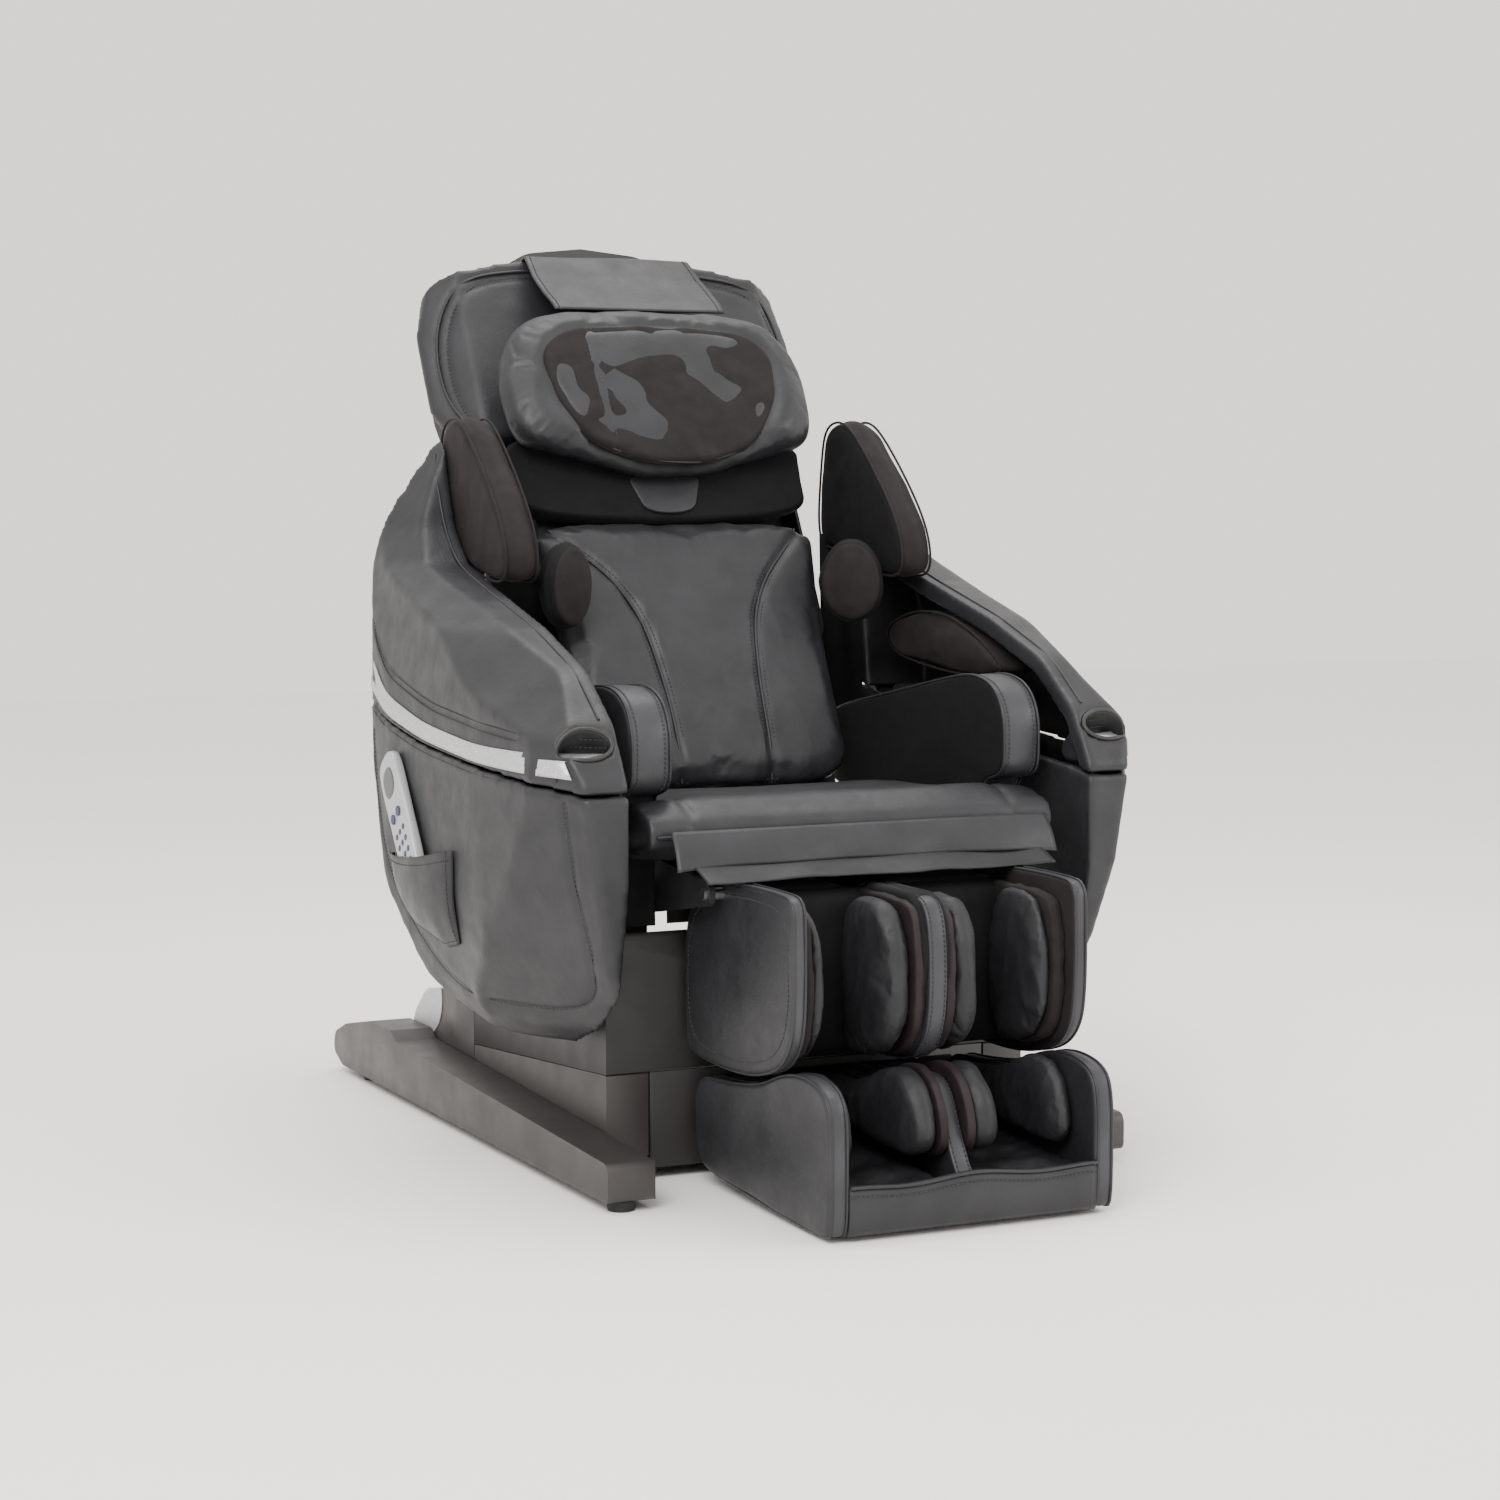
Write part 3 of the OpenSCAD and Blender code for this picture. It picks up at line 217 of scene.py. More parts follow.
def flaked(name, dark, light, flake_mm, metallic, rough):
    """Silver paint: small flakes that each lie at a slightly different tilt."""
    finish, tree, skin, where = new_finish(name, rough, Metallic=metallic)
    flakes = add(tree, "ShaderNodeTexVoronoi", [("Vector", where)], Scale=1000 / flake_mm)
    ramp = add(tree, "ShaderNodeValToRGB", [("Fac", flakes.outputs["Color"])])
    ramp.color_ramp.elements[0].color, ramp.color_ramp.elements[1].color = linear(dark), linear(light)
    tree.links.new(ramp.outputs["Color"], skin.inputs["Base Color"])
    last = bump(tree, flakes.outputs["Distance"], 0.15, 0.35)
    tree.links.new(last.outputs["Normal"], skin.inputs["Normal"])
    return finish


def steel(name, dark, light, metallic, rough, brushed_mm=0.8):
    finish, tree, skin, where = new_finish(name, rough, Metallic=metallic)
    tint(tree, where, skin, dark, light, 40)
    lines = add(tree, "ShaderNodeTexNoise", [("Vector", where)], Scale=1000 / brushed_mm, Detail=2.0)
    last = bump(tree, lines.outputs["Fac"], 0.05, 0.4)
    tree.links.new(last.outputs["Normal"], skin.inputs["Normal"])
    return finish


abs_warm = moulded("moulded_ABS_warm_grey", "#2d2a29", "#363231")
abs_dark = moulded("moulded_ABS_dark", "#141313", "#1b1919")
abs_black = moulded("moulded_ABS_black", "#0b0b0d", "#121214", (0.5, 0.62))
pump_grey = moulded("moulded_nylon_grey", "#505054", "#606065")
tyre = moulded("moulded_rubber", "#101011", "#19191b", (0.7, 0.8))
roller_nylon = moulded("turned_nylon_rollers", "#8b8579", "#a09a8d", (0.35, 0.45))
red_switch = moulded("glossy_ABS_red", "#8a1518", "#a01a1e", (0.18, 0.24))
silver = flaked("silver_flake_band", "#a9a9ac", "#cfcfd2", 1.6, 0.55, 0.42)
silver_case = flaked("silver_paint_on_ABS", "#a4a5a8", "#b9babd", 0.9, 0.35, 0.36)
powder = steel("powder_coated_steel", "#1c1c1e", "#262629", 0.0, 0.5, 1.4)
plated = steel("zinc_plated_steel", "#9c9ea2", "#b8babd", 1.0, 0.34)
screen_glass = moulded("display_glass", "#23262a", "#2b2f34", (0.10, 0.14), 2.0, 0.0)
key_blue = moulded("silicone_key_blue", "#28304a", "#333d5c", (0.5, 0.6))
print("hard finishes ready")

# %% [markdown]
# ## Soft solids
# Most pads here are sewn from two faces and a side band. `slab` lofts such a
# pad from its outline: rings run from the middle of one face, over a rounded
# edge and across the band, to the middle of the other face. The faces are
# crowned, the band bulges, and each part can have its own finish.

# %% Outlines
def smooth_loop(points, count=120, passes=3):
    """A closed outline with its corners cut, in even steps."""
    loop = np.array(points, float)
    for _ in range(passes):
        after = np.roll(loop, -1, 0)
        loop = np.stack([loop * 0.75 + after * 0.25, loop * 0.25 + after * 0.75], 1).reshape(-1, 2)
    return even(loop, count, True)


def even(line, count, closed=False):
    """The same line in equal steps."""
    line = np.array(line, float)
    if closed:
        line = np.vstack([line, line[:1]])
    along = np.r_[0, np.cumsum(np.linalg.norm(np.diff(line, axis=0), axis=1))]
    at = np.linspace(0, along[-1], count + 1)[:-1] if closed else np.linspace(0, along[-1], count)
    return np.stack([np.interp(at, along, line[:, i]) for i in range(line.shape[1])], 1)


def mirrored(half):
    """A closed outline from its right half, which starts and ends on the middle line."""
    return list(half) + [(-x, y) for x, y in reversed(half) if x > 0]


# %% Mesh helpers
def to_object(name, points, faces, finishes, finish_of=None, smooth=True):
    """A mesh object from points in metres, with its normals made to point outwards."""
    mesh = bpy.data.meshes.new(name)
    mesh.from_pydata([tuple(p) for p in points], [], faces)
    for finish in finishes:
        mesh.materials.append(finish)
    if finish_of is not None:
        mesh.polygons.foreach_set("material_index", finish_of)
    bm = bmesh.new()
    bm.from_mesh(mesh)
    bmesh.ops.recalc_face_normals(bm, faces=bm.faces)
    bm.to_mesh(mesh)
    bm.free()
    if smooth:
        mesh.polygons.foreach_set("use_smooth", [True] * len(mesh.polygons))
    obj = bpy.data.objects.new(name, mesh)
    bpy.context.scene.collection.objects.link(obj)
    return obj


BENCH = bpy.data.scenes.new("bench")


def on_bench(obj, frames=()):
    """An object's evaluated mesh, worked out in a scene that holds nothing else."""
    BENCH.collection.objects.link(obj)
    layer = BENCH.view_layers[0]
    layer.update()
    for now in frames:
        BENCH.frame_set(now)
    mesh = bpy.data.meshes.new_from_object(obj.evaluated_get(layer.depsgraph), depsgraph=layer.depsgraph)
    BENCH.collection.objects.unlink(obj)
    return mesh


def settle(obj):
    """Applies an object's modifiers and leaves a plain mesh."""
    mesh = on_bench(obj)
    obj.modifiers.clear()
    obj.data = mesh
    return obj


def places(obj):
    co = np.empty(len(obj.data.vertices) * 3)
    obj.data.vertices.foreach_get("co", co)
    return co.reshape(-1, 3)


def put(obj, co):
    obj.data.vertices.foreach_set("co", co.astype(np.float32).ravel())
    obj.data.update()


def normals(obj):
    no = np.empty(len(obj.data.vertices) * 3, np.float32)
    obj.data.vertex_normals.foreach_get("vector", no)
    return no.reshape(-1, 3)


def slab(name, outline, place, faces_at, edge=12, crown=(6, 6), belly=2, rings=8, count=120,
         finishes=None, centre=None):
    """A sewn pad. outline is in millimetres in the face's plane, faces_at is where
    the two faces lie across it, edge the radius of the sewn edge. finishes are
    for (first face, band, second face)."""
    loop = smooth_loop(outline, count)
    middle = np.array(centre) if centre is not None else loop.mean(0)
    out = loop - middle
    reach = np.linalg.norm(out, axis=1)[:, None]
    w0, w1 = faces_at
    turn = [math.pi / 2 * i / 4 for i in range(5)]
    profile = [("in", j / rings, w0 - crown[0] * (1 - (j / rings) ** 2.4)) for j in range(1, rings)]
    profile += [("edge", edge * (1 - math.sin(t)), w0 + edge * (1 - math.cos(t))) for t in turn]
    profile += [("edge", -belly * math.sin(math.pi * k / 4), w0 + edge + (w1 - w0 - 2 * edge) * k / 4)
                for k in (1, 2, 3)]
    profile += [("edge", edge * (1 - math.sin(t)), w1 - edge * (1 - math.cos(t))) for t in reversed(turn)]
    profile += [("in", j / rings, w1 + crown[1] * (1 - (j / rings) ** 2.4)) for j in range(rings - 1, 0, -1)]
    points, faces, kinds = [], [], []
    for kind, amount, w in profile:
        if kind == "in":
            ring = middle + out * (amount * (1 - edge / reach))
        else:
            ring = middle + out * (1 - amount / reach)
        points += [place(u, v, w) for u, v in ring]
    n = len(loop)
    last = len(profile)
    for r in range(last - 1):
        part = 0 if r < rings + 1 else (2 if r >= last - rings - 2 else 1)
        for i in range(n):
            j = (i + 1) % n
            faces.append((r * n + i, r * n + j, (r + 1) * n + j, (r + 1) * n + i))
            kinds.append(part)
    for ring, part, w in ((0, 0, w0 - crown[0]), (last - 1, 2, w1 + crown[1])):
        points.append(place(middle[0], middle[1], w))
        for i in range(n):
            faces.append((len(points) - 1, ring * n + i, ring * n + (i + 1) % n))
            kinds.append(part)
    finishes = finishes or (charcoal, charcoal, charcoal)
    return to_object(name, points, faces, list(finishes), kinds)


def edge_line(outline, place, w, grow=0.0, count=160, centre=None):
    """The line of a sewn edge at the depth w, for its piping."""
    loop = smooth_loop(outline, count)
    out = loop - (loop.mean(0) if centre is None else np.array(centre))
    loop = loop + out / np.linalg.norm(out, axis=1)[:, None] * grow
    return np.array([place(u, v, w) for u, v in np.vstack([loop, loop[:1]])])


# %% [markdown]
# ## Stuffing
# A flat-sided solid looks like a block, so the larger cushions are inflated.
# The shape is remeshed evenly, Blender's cloth solver blows it up for twenty
# frames with no gravity, and no point may move further than a cap. Folds and
# sewn grooves come after, because remeshing would erase them.

# %% Remesh, relax and inflate
def even_mesh(obj, voxel_mm):
    mod = obj.modifiers.new("even", "REMESH")
    mod.mode, mod.voxel_size, mod.use_smooth_shade = "VOXEL", voxel_mm / 1000, True
    return settle(obj)


def relax(obj, rounds=12, step=0.5, back=-0.53):
    """Smooths a mesh without shrinking it, by one step in and one step out."""
    edges = np.empty(len(obj.data.edges) * 2, int)
    obj.data.edges.foreach_get("vertices", edges)
    a, b = edges.reshape(-1, 2).T
    count = len(obj.data.vertices)
    degree = np.maximum(np.bincount(np.r_[a, b], minlength=count), 1)[:, None]
    co = places(obj)
    for _ in range(rounds):
        for amount in (step, back):
            total = np.stack([np.bincount(a, co[b, k], count) + np.bincount(b, co[a, k], count)
                              for k in range(3)], 1)
            co = co + amount * (total / degree - co)
    put(obj, co)
    return obj


def inflate(obj, cap_mm=10, pressure=4.0, frames=20):
    """Blows a closed cushion up with the cloth solver, then keeps the result."""
    rest = places(obj)
    mod = obj.modifiers.new("air", "CLOTH")
    cloth = mod.settings
    cloth.use_pressure, cloth.uniform_pressure_force = True, pressure
    cloth.quality, cloth.mass = 5, 0.3
    cloth.effector_weights.gravity = 0
    mod.point_cache.frame_start, mod.point_cache.frame_end = 1, frames
    puffed = on_bench(obj, range(1, frames + 1))
    co = np.empty(len(puffed.vertices) * 3)
    puffed.vertices.foreach_get("co", co)
    co = co.reshape(-1, 3)
    obj.modifiers.clear()
    if len(co) != len(rest) or not np.isfinite(co).all():
        return obj
    move = co - rest
    far = np.linalg.norm(move, axis=1)[:, None]
    put(obj, rest + move * np.minimum(1, cap_mm / 1000 / np.maximum(far, 1e-9)))
    print(obj.name, "inflated, mean move %.1f mm" % (1000 * np.minimum(far, cap_mm / 1000).mean()))
    return obj


def finer(obj):
    mod = obj.modifiers.new("finer", "SUBSURF")
    mod.levels = mod.render_levels = 1
    mod.use_limit_surface = False             # quick even where many faces meet in one point
    return settle(obj)


# %% Folds, grooves and seams
def fold(obj, amount_mm, size_mm, stretch=(1, 1, 1), seed=0, where=None):
    """Soft folds: ridged noise moves the surface along its normals."""
    co, no = places(obj), normals(obj)
    shift = Vector((seed * 7.3, seed * 3.1, seed * 1.7))
    k = Vector(stretch) * (1000 / size_mm)
    moved = np.empty(len(co))
    for i, p in enumerate(co):
        q = Vector((p[0] * k.x, p[1] * k.y, p[2] * k.z)) + shift
        moved[i] = 0.5 - abs(noise.noise(q)) * 2 + 0.35 * noise.noise(q * 2.3)
    if where is not None:
        moved = moved * where(co)
    put(obj, co + no * (moved * amount_mm / 1000)[:, None])
    return obj


def nearest_distance(co, lines):
    pts = np.vstack([even(line, max(2, int(length_of(line) / 0.004))) for line in lines])
    tree = KDTree(len(pts))
    for i, p in enumerate(pts):
        tree.insert(p, i)
    tree.balance()
    return np.array([tree.find(p)[2] for p in co])


def length_of(line):
    return float(np.linalg.norm(np.diff(np.array(line), axis=0), axis=1).sum())


def groove(obj, lines, depth_mm=3.0, width_mm=9.0):
    """Pulls the surface in along sewn lines."""
    co, no = places(obj), normals(obj)
    pull = depth_mm / 1000 * np.exp(-(nearest_distance(co, lines) / (width_mm / 1000)) ** 2)
    put(obj, co - no * pull[:, None])
    return obj


def cast(obj, points, way, lift_mm=0.0, step=0.02):
    """Lays points on an object's surface by looking along a direction."""
    tree = BVHTree.FromPolygons([v.co for v in obj.data.vertices],
                                [p.vertices for p in obj.data.polygons])
    way = Vector(way).normalized()
    line = even(points, max(12, int(length_of(points) / step)))
    laid = []
    for p in line:
        hit, no, _, _ = tree.ray_cast(Vector(p) - way * 0.6, way)
        if hit is None:
            hit, no, _, _ = tree.find_nearest(Vector(p))
        laid.append(hit - way * lift_mm / 1000)
    laid = np.array(laid)
    for _ in range(3):
        laid[1:-1] = (laid[:-2] + 2 * laid[1:-1] + laid[2:]) / 4
    return laid


def snap(obj, points, lift_mm=0.0, step=0.02):
    """Lays points on the nearest place of an object's surface."""
    tree = BVHTree.FromPolygons([v.co for v in obj.data.vertices],
                                [p.vertices for p in obj.data.polygons])
    line = even(points, max(12, int(length_of(points) / step)))
    laid = []
    for p in line:
        hit, no, _, _ = tree.find_nearest(Vector(p))
        laid.append(hit + no * lift_mm / 1000)
    laid = np.array(laid)
    for _ in range(2):
        laid[1:-1] = (laid[:-2] + 2 * laid[1:-1] + laid[2:]) / 4
    return laid


# %% [markdown]
# ## Piping and stitches
# Piping is a cord in a leather sleeve sewn into an edge, and each seam has a
# row of stitches beside it. Both follow a line and repeat, so two Geometry
# Nodes trees make them: one sweeps a round section along the line, and one
# puts a short rod every few millimetres, turned along the line.

# %% Geometry Nodes trees
def line_tree(name, sockets):
    """An empty tree with a mesh of lines going in, sizes as inputs, and a finish."""
    tree = bpy.data.node_groups.new(name, "GeometryNodeTree")
    face = tree.interface
    face.new_socket("Lines", in_out="INPUT", socket_type="NodeSocketGeometry")
    for label, value in sockets:
        face.new_socket(label, in_out="INPUT", socket_type="NodeSocketFloat").default_value = value
    face.new_socket("Finish", in_out="INPUT", socket_type="NodeSocketMaterial")
    face.new_socket("Trim", in_out="OUTPUT", socket_type="NodeSocketGeometry")
    return tree, add(tree, "NodeGroupInput"), add(tree, "NodeGroupOutput")


def piping_tree():
    tree, start, end = line_tree("sweep_piping", [("Radius", 0.002), ("Step", 0.008)])
    curve = add(tree, "GeometryNodeMeshToCurve", [("Mesh", start.outputs["Lines"])])
    steps = add(tree, "GeometryNodeResampleCurve", [("Curve", curve.outputs["Curve"]),
                                                   ("Length", start.outputs["Step"])], mode="LENGTH")
    section = add(tree, "GeometryNodeCurvePrimitiveCircle", [("Radius", start.outputs["Radius"])],
                  Resolution=8)
    sweep = add(tree, "GeometryNodeCurveToMesh", [("Curve", steps.outputs["Curve"]),
                                                  ("Profile Curve", section.outputs["Curve"])], Fill_Caps=True)
    real = add(tree, "GeometryNodeRealizeInstances", [("Geometry", sweep.outputs["Mesh"])])
    paint = add(tree, "GeometryNodeSetMaterial", [("Geometry", real.outputs["Geometry"]),
                                                  ("Material", start.outputs["Finish"])])
    tree.links.new(paint.outputs["Geometry"], end.inputs["Trim"])
    return tree


def stitch_tree():
    tree, start, end = line_tree("place_stitches", [("Radius", 0.0007), ("Length", 0.0042), ("Step", 0.0062)])
    curve = add(tree, "GeometryNodeMeshToCurve", [("Mesh", start.outputs["Lines"])])
    steps = add(tree, "GeometryNodeResampleCurve", [("Curve", curve.outputs["Curve"]),
                                                   ("Length", start.outputs["Step"])], mode="LENGTH")
    rod = add(tree, "GeometryNodeMeshCylinder", [("Radius", start.outputs["Radius"]),
                                                 ("Depth", start.outputs["Length"])], Vertices=5)
    tangent = add(tree, "GeometryNodeInputTangent")
    turn = add(tree, "FunctionNodeAlignRotationToVector", [("Vector", tangent.outputs["Tangent"])], axis="Z")
    puts = add(tree, "GeometryNodeInstanceOnPoints", [("Points", steps.outputs["Curve"]),
                                                     ("Instance", rod.outputs["Mesh"]),
                                                     ("Rotation", turn.outputs["Rotation"])])
    real = add(tree, "GeometryNodeRealizeInstances", [("Geometry", puts.outputs["Instances"])])
    paint = add(tree, "GeometryNodeSetMaterial", [("Geometry", real.outputs["Geometry"]),
                                                  ("Material", start.outputs["Finish"])])
    tree.links.new(paint.outputs["Geometry"], end.inputs["Trim"])
    return tree


SWEEP, STITCH = piping_tree(), stitch_tree()
print("trees:", SWEEP.name, STITCH.name)

# %% Trim along lines
made = {"stitches": 0, "piping": 0}


def trim(name, lines, body, slot, tree, finish, **sizes):
    """Runs one of the two trees along lines and keeps the result as one mesh."""
    points, edges = [], []
    for line in lines:
        edges += [(len(points) + i, len(points) + i + 1) for i in range(len(line) - 1)]
        points += [tuple(p) for p in line]
    mesh = bpy.data.meshes.new(name)
    mesh.from_pydata(points, edges, [])
    obj = bpy.data.objects.new(name, mesh)
    bpy.context.scene.collection.objects.link(obj)
    mod = obj.modifiers.new("trim", "NODES")
    mod.node_group = tree
    for item in tree.interface.items_tree:
        if item.in_out == "INPUT" and item.name in sizes:
            mod[item.identifier] = sizes[item.name]
        if item.in_out == "INPUT" and item.name == "Finish":
            mod[item.identifier] = finish
    settle(obj)
    obj.data.polygons.foreach_set("use_smooth", [True] * len(obj.data.polygons))
    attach(obj, body)
    made["piping" if tree is SWEEP else "stitches"] += len(lines)
    return obj


def piping(name, lines, body, radius_mm=2.2, finish=None, slot="leather_charcoal"):
    return trim(name, lines, body, slot, SWEEP, finish or charcoal, Radius=radius_mm / 1000)


def stitches(name, lines, body, slot="leather_charcoal", finish=None):
    return trim(name, lines, body, slot, STITCH, finish or thread)


def beside(line, across, mm):
    """A line moved sideways, to run on one side of a seam."""
    line = np.array(line)
    along = np.gradient(line, axis=0)
    side = np.cross(along, np.array(across, float))
    side /= np.maximum(np.linalg.norm(side, axis=1), 1e-9)[:, None]
    return line + side * mm / 1000


# %% Ready a piece
def ready(obj, body, nodes=()):
    """Says what a piece rides on and hides the CAD parts that it stands for."""
    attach(obj, body)
    if nodes:
        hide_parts(*nodes)
    return obj


def from_node(node, name, finish, voxel_mm=5.0, rounds=25, also=()):
    """A CAD solid's shape, or that of several, as an even, softened mesh with one finish."""
    mesh = bpy.data.meshes.new(name)
    obj = bpy.data.objects.new(name, mesh)
    bpy.context.scene.collection.objects.link(obj)
    bm = bmesh.new()
    for source in (node, *also):
        bm.from_mesh(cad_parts[source].data)
    for face in bm.faces:
        face.material_index = 0
    mesh.materials.append(finish)
    bmesh.ops.remove_doubles(bm, verts=bm.verts, dist=1e-5)
    bm.to_mesh(mesh)
    bm.free()
    even_mesh(obj, voxel_mm)
    return relax(obj, rounds)


SIDES = (("left", -1), ("right", 1))

# %% [markdown]
# ## The view
# The camera stands low in front of the chair's left arm and looks slightly
# down. A long lens keeps the legs from growing. Light comes from a big soft
# panel above the camera's left, with a wide fill and a pale room all round.

# %% Camera, light and floor
def camera():
    data = bpy.data.cameras.new("camera")
    data.lens, data.sensor_width = 75.0, 36.0
    obj = bpy.data.objects.new("camera", data)
    obj.location = (-1.862, -3.935, 0.910)
    obj.rotation_euler = (math.radians(90 - 4.93), 0, math.radians(-25.55))
    bpy.context.scene.collection.objects.link(obj)
    bpy.context.scene.camera = obj


def panel_light(name, spot, target, size, watts, tone="#ffffff"):
    data = bpy.data.lights.new(name, "AREA")
    data.shape, data.size, data.energy = "DISK", size, watts
    data.color = linear(tone)[:3]
    obj = bpy.data.objects.new(name, data)
    obj.location = spot
    obj.rotation_euler = (Vector(target) - Vector(spot)).to_track_quat("-Z", "Y").to_euler()
    bpy.context.scene.collection.objects.link(obj)


def room():
    world = bpy.data.worlds.new("pale_room")
    world.use_nodes = True
    world.node_tree.nodes["Background"].inputs["Color"].default_value = linear("#fbf8f4")
    world.node_tree.nodes["Background"].inputs["Strength"].default_value = 1.6
    bpy.context.scene.world = world
    finish, tree, skin, where = new_finish("pale_paper_floor", 0.9)
    tint(tree, where, skin, "#fbf9f6", "#fdfbf8", 900)
    skin.inputs["Specular IOR Level"].default_value = 0.05
    half = 9.0
    floor = to_object("floor", [(-half, -half, 0), (half, -half, 0), (half, half, 0), (-half, half, 0)],
                      [(0, 1, 2, 3)], [finish], smooth=False)


camera()
room()
panel_light("key", (-2.6, -3.2, 3.4), (0, 0, 0.6), 2.6, 190)
panel_light("fill", (3.4, -2.6, 2.2), (0, 0, 0.6), 2.4, 60)
panel_light("top", (0.2, 0.6, 3.6), (0, 0.1, 0.6), 2.2, 60)
print("camera, three soft lights and a floor")

# %% [markdown]
# ## Hard parts
# Moulded and steel parts keep their CAD shape. Sharp CAD edges catch no light,
# so the parts that show get a copy with its edges rounded by a bevel, as a
# mould leaves them, and the others take their finish as they are.

# %% Rounded copies and plain finishes
def rounded_copy(node, body, finish, width_mm=3.0, steps=2):
    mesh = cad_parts[node].data.copy()
    mesh.materials.clear()
    mesh.materials.append(finish)
    obj = bpy.data.objects.new(node + "_moulded", mesh)
    bpy.context.scene.collection.objects.link(obj)
    bm = bmesh.new()
    bm.from_mesh(mesh)
    bmesh.ops.remove_doubles(bm, verts=bm.verts, dist=1e-5)
    bmesh.ops.dissolve_limit(bm, angle_limit=math.radians(1.0), verts=bm.verts, edges=bm.edges)
    bm.to_mesh(mesh)
    bm.free()
    mod = obj.modifiers.new("soft_edges", "BEVEL")
    mod.width, mod.segments, mod.limit_method = width_mm / 1000, steps, "ANGLE"
    mod.angle_limit = math.radians(28)
    mod.harden_normals = False
    settle(obj)
    obj.data.materials.clear()
    obj.data.materials.append(finish)
    obj.data.polygons.foreach_set("use_smooth", [True] * len(obj.data.polygons))
    obj.data.set_sharp_from_angle(angle=math.radians(38))
    return ready(obj, body, [node])


for side, _ in SIDES:
    rounded_copy("runner_" + side, "base", abs_warm, 5.0, 3)
    rounded_copy("side_cover_" + side, "base", abs_warm, 1.6)
rounded_copy("rear_cover", "base", abs_warm, 2.0)
rounded_copy("front_cover", "base", abs_dark, 1.6)
rounded_copy("base_skirt", "base", abs_dark, 1.8)

PLAIN = {
    "powder": (powder, ["base_frame", "seat_frame", "back_frame", "calf_frame", "recline_motor", "leg_motor"]),
    "plated": (plated, ["hinge_pins", "recline_rod", "leg_rod", "foot_frame", "knead_arm_left",
                        "knead_arm_right"]),
    "silver": (silver, ["rear_trim"]),
    "black": (abs_black, ["back_shell", "top_cap", "power_inlet"]),
    "tyre": (tyre, ["runner_feet", "wheel_left", "wheel_right"]),
    "red": (red_switch, ["power_switch"]),
    "pump": (pump_grey, ["control_box", "air_pump", "carriage_frame"]),
    "rollers": (roller_nylon, ["roller_upper_left", "roller_lower_left", "roller_upper_right",
                               "roller_lower_right"]),
    "keys": (key_blue, ["key_start", "key_stop"]),
}
for finish, nodes in PLAIN.values():
    for node in nodes:
        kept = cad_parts[node]
        if not kept.material_slots:
            kept.data.materials.append(finish)
        for place in kept.material_slots:
            place.material = finish
print("hard parts finished")

# %% [markdown]
# ## Seat
# The seat is one cushion that ends in a full roll. It is blown up by the cloth
# solver, then a groove and two rows of stitches cross the roll near each end,
# where the top panel is sewn to the end panels.

# %% Seat cushion
seat = from_node("seat_cushion", "seat_cushion_leather", charcoal, 6.5, 14)
inflate(seat, 7)
finer(seat)
fold(seat, 1.6, 150, (0.6, 1, 1), 2)
roll_profile = [(-262, 497), (-300, 503), (-340, 500), (-366, 486), (-374, 466), (-368, 448)]
seat_seams = [np.array([on_side(y, z, x) for y, z in roll_profile]) for x in (-232, 232)]
groove(seat, seat_seams, 3.5, 8)
seat_lines = [beside(snap(seat, line, 0.6), (1, 0, 0), 0) for line in seat_seams]
offset_lines = [line + np.array([d / 1000, 0, 0]) for line in seat_seams for d in (-6, 6)]
ready(seat, "base", ["seat_cushion"])
stitches("seat_stitches", [snap(seat, line, 0.4) for line in offset_lines], "base")
front_welt = np.array([on_side(-372, 462, x) for x in np.linspace(-285, 285, 60)])
piping("seat_front_piping", [snap(seat, front_welt, 1.2)], "base", 2.4)
print("seat:", len(seat.data.polygons), "faces")

# %% [markdown]
# Under the roll hangs a leather flap in two layers that closes the gap to the
# leg rest: a stiff folded band, and a softer hem that lies on the leg rest in
# waves.

# %% Seat flap
def cloth_grid(name, shape, finish, across=81, down=13, thick_mm=2.0):
    """A thin sheet from a function of two numbers from 0 to 1."""
    points = [shape(i / (across - 1), j / (down - 1)) for j in range(down) for i in range(across)]
    faces = [(j * across + i, j * across + i + 1, (j + 1) * across + i + 1, (j + 1) * across + i)
             for j in range(down - 1) for i in range(across - 1)]
    obj = to_object(name, points, faces, [finish])
    mod = obj.modifiers.new("thick", "SOLIDIFY")
    mod.thickness, mod.offset = thick_mm / 1000, 0.0
    return settle(obj)


def band_shape(u, v):
    x = -272 + 544 * u
    lift = 2.5 * math.sin(9 * u) * v + 2.0 * math.sin(23 * u + 1) * v * v
    y = -379 - 26 * v - 4 * math.sin(math.pi * v) - lift
    z = 470 - 42 * v - 6 * v * abs(2 * u - 1) ** 6
    return on_side(y, z, x * (1 + 0.012 * v))


def hem_shape(u, v):
    x = -252 + 504 * u
    wave = 9 * math.sin(11.0 * u + 0.6) + 5 * math.sin(25 * u)
    y = -383 - 62 * v - wave * 0.5 * v
    z = 437 - 25 * v ** 0.7 + (2.5 * math.sin(17 * u + 3) - 1.5) * v + 3 * math.sin(math.pi * v)
    return on_side(y, max(z, 411.5), x)


flaps = []
# The hem takes the darker leather copy: painted shade where it lies under the roll.
for name, shape, finish, size in (("seat_flap_band", band_shape, charcoal, (0.548, 0.052)),
                                  ("seat_flap_hem", hem_shape, charcoal_painted_shade, (0.505, 0.070))):
    flap = cloth_grid(name, shape, finish)
    ready(flap, "base", ["seat_flap"])
    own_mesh(flap)
    flaps.append(flap)
print("flaps:", [f.name for f in flaps])
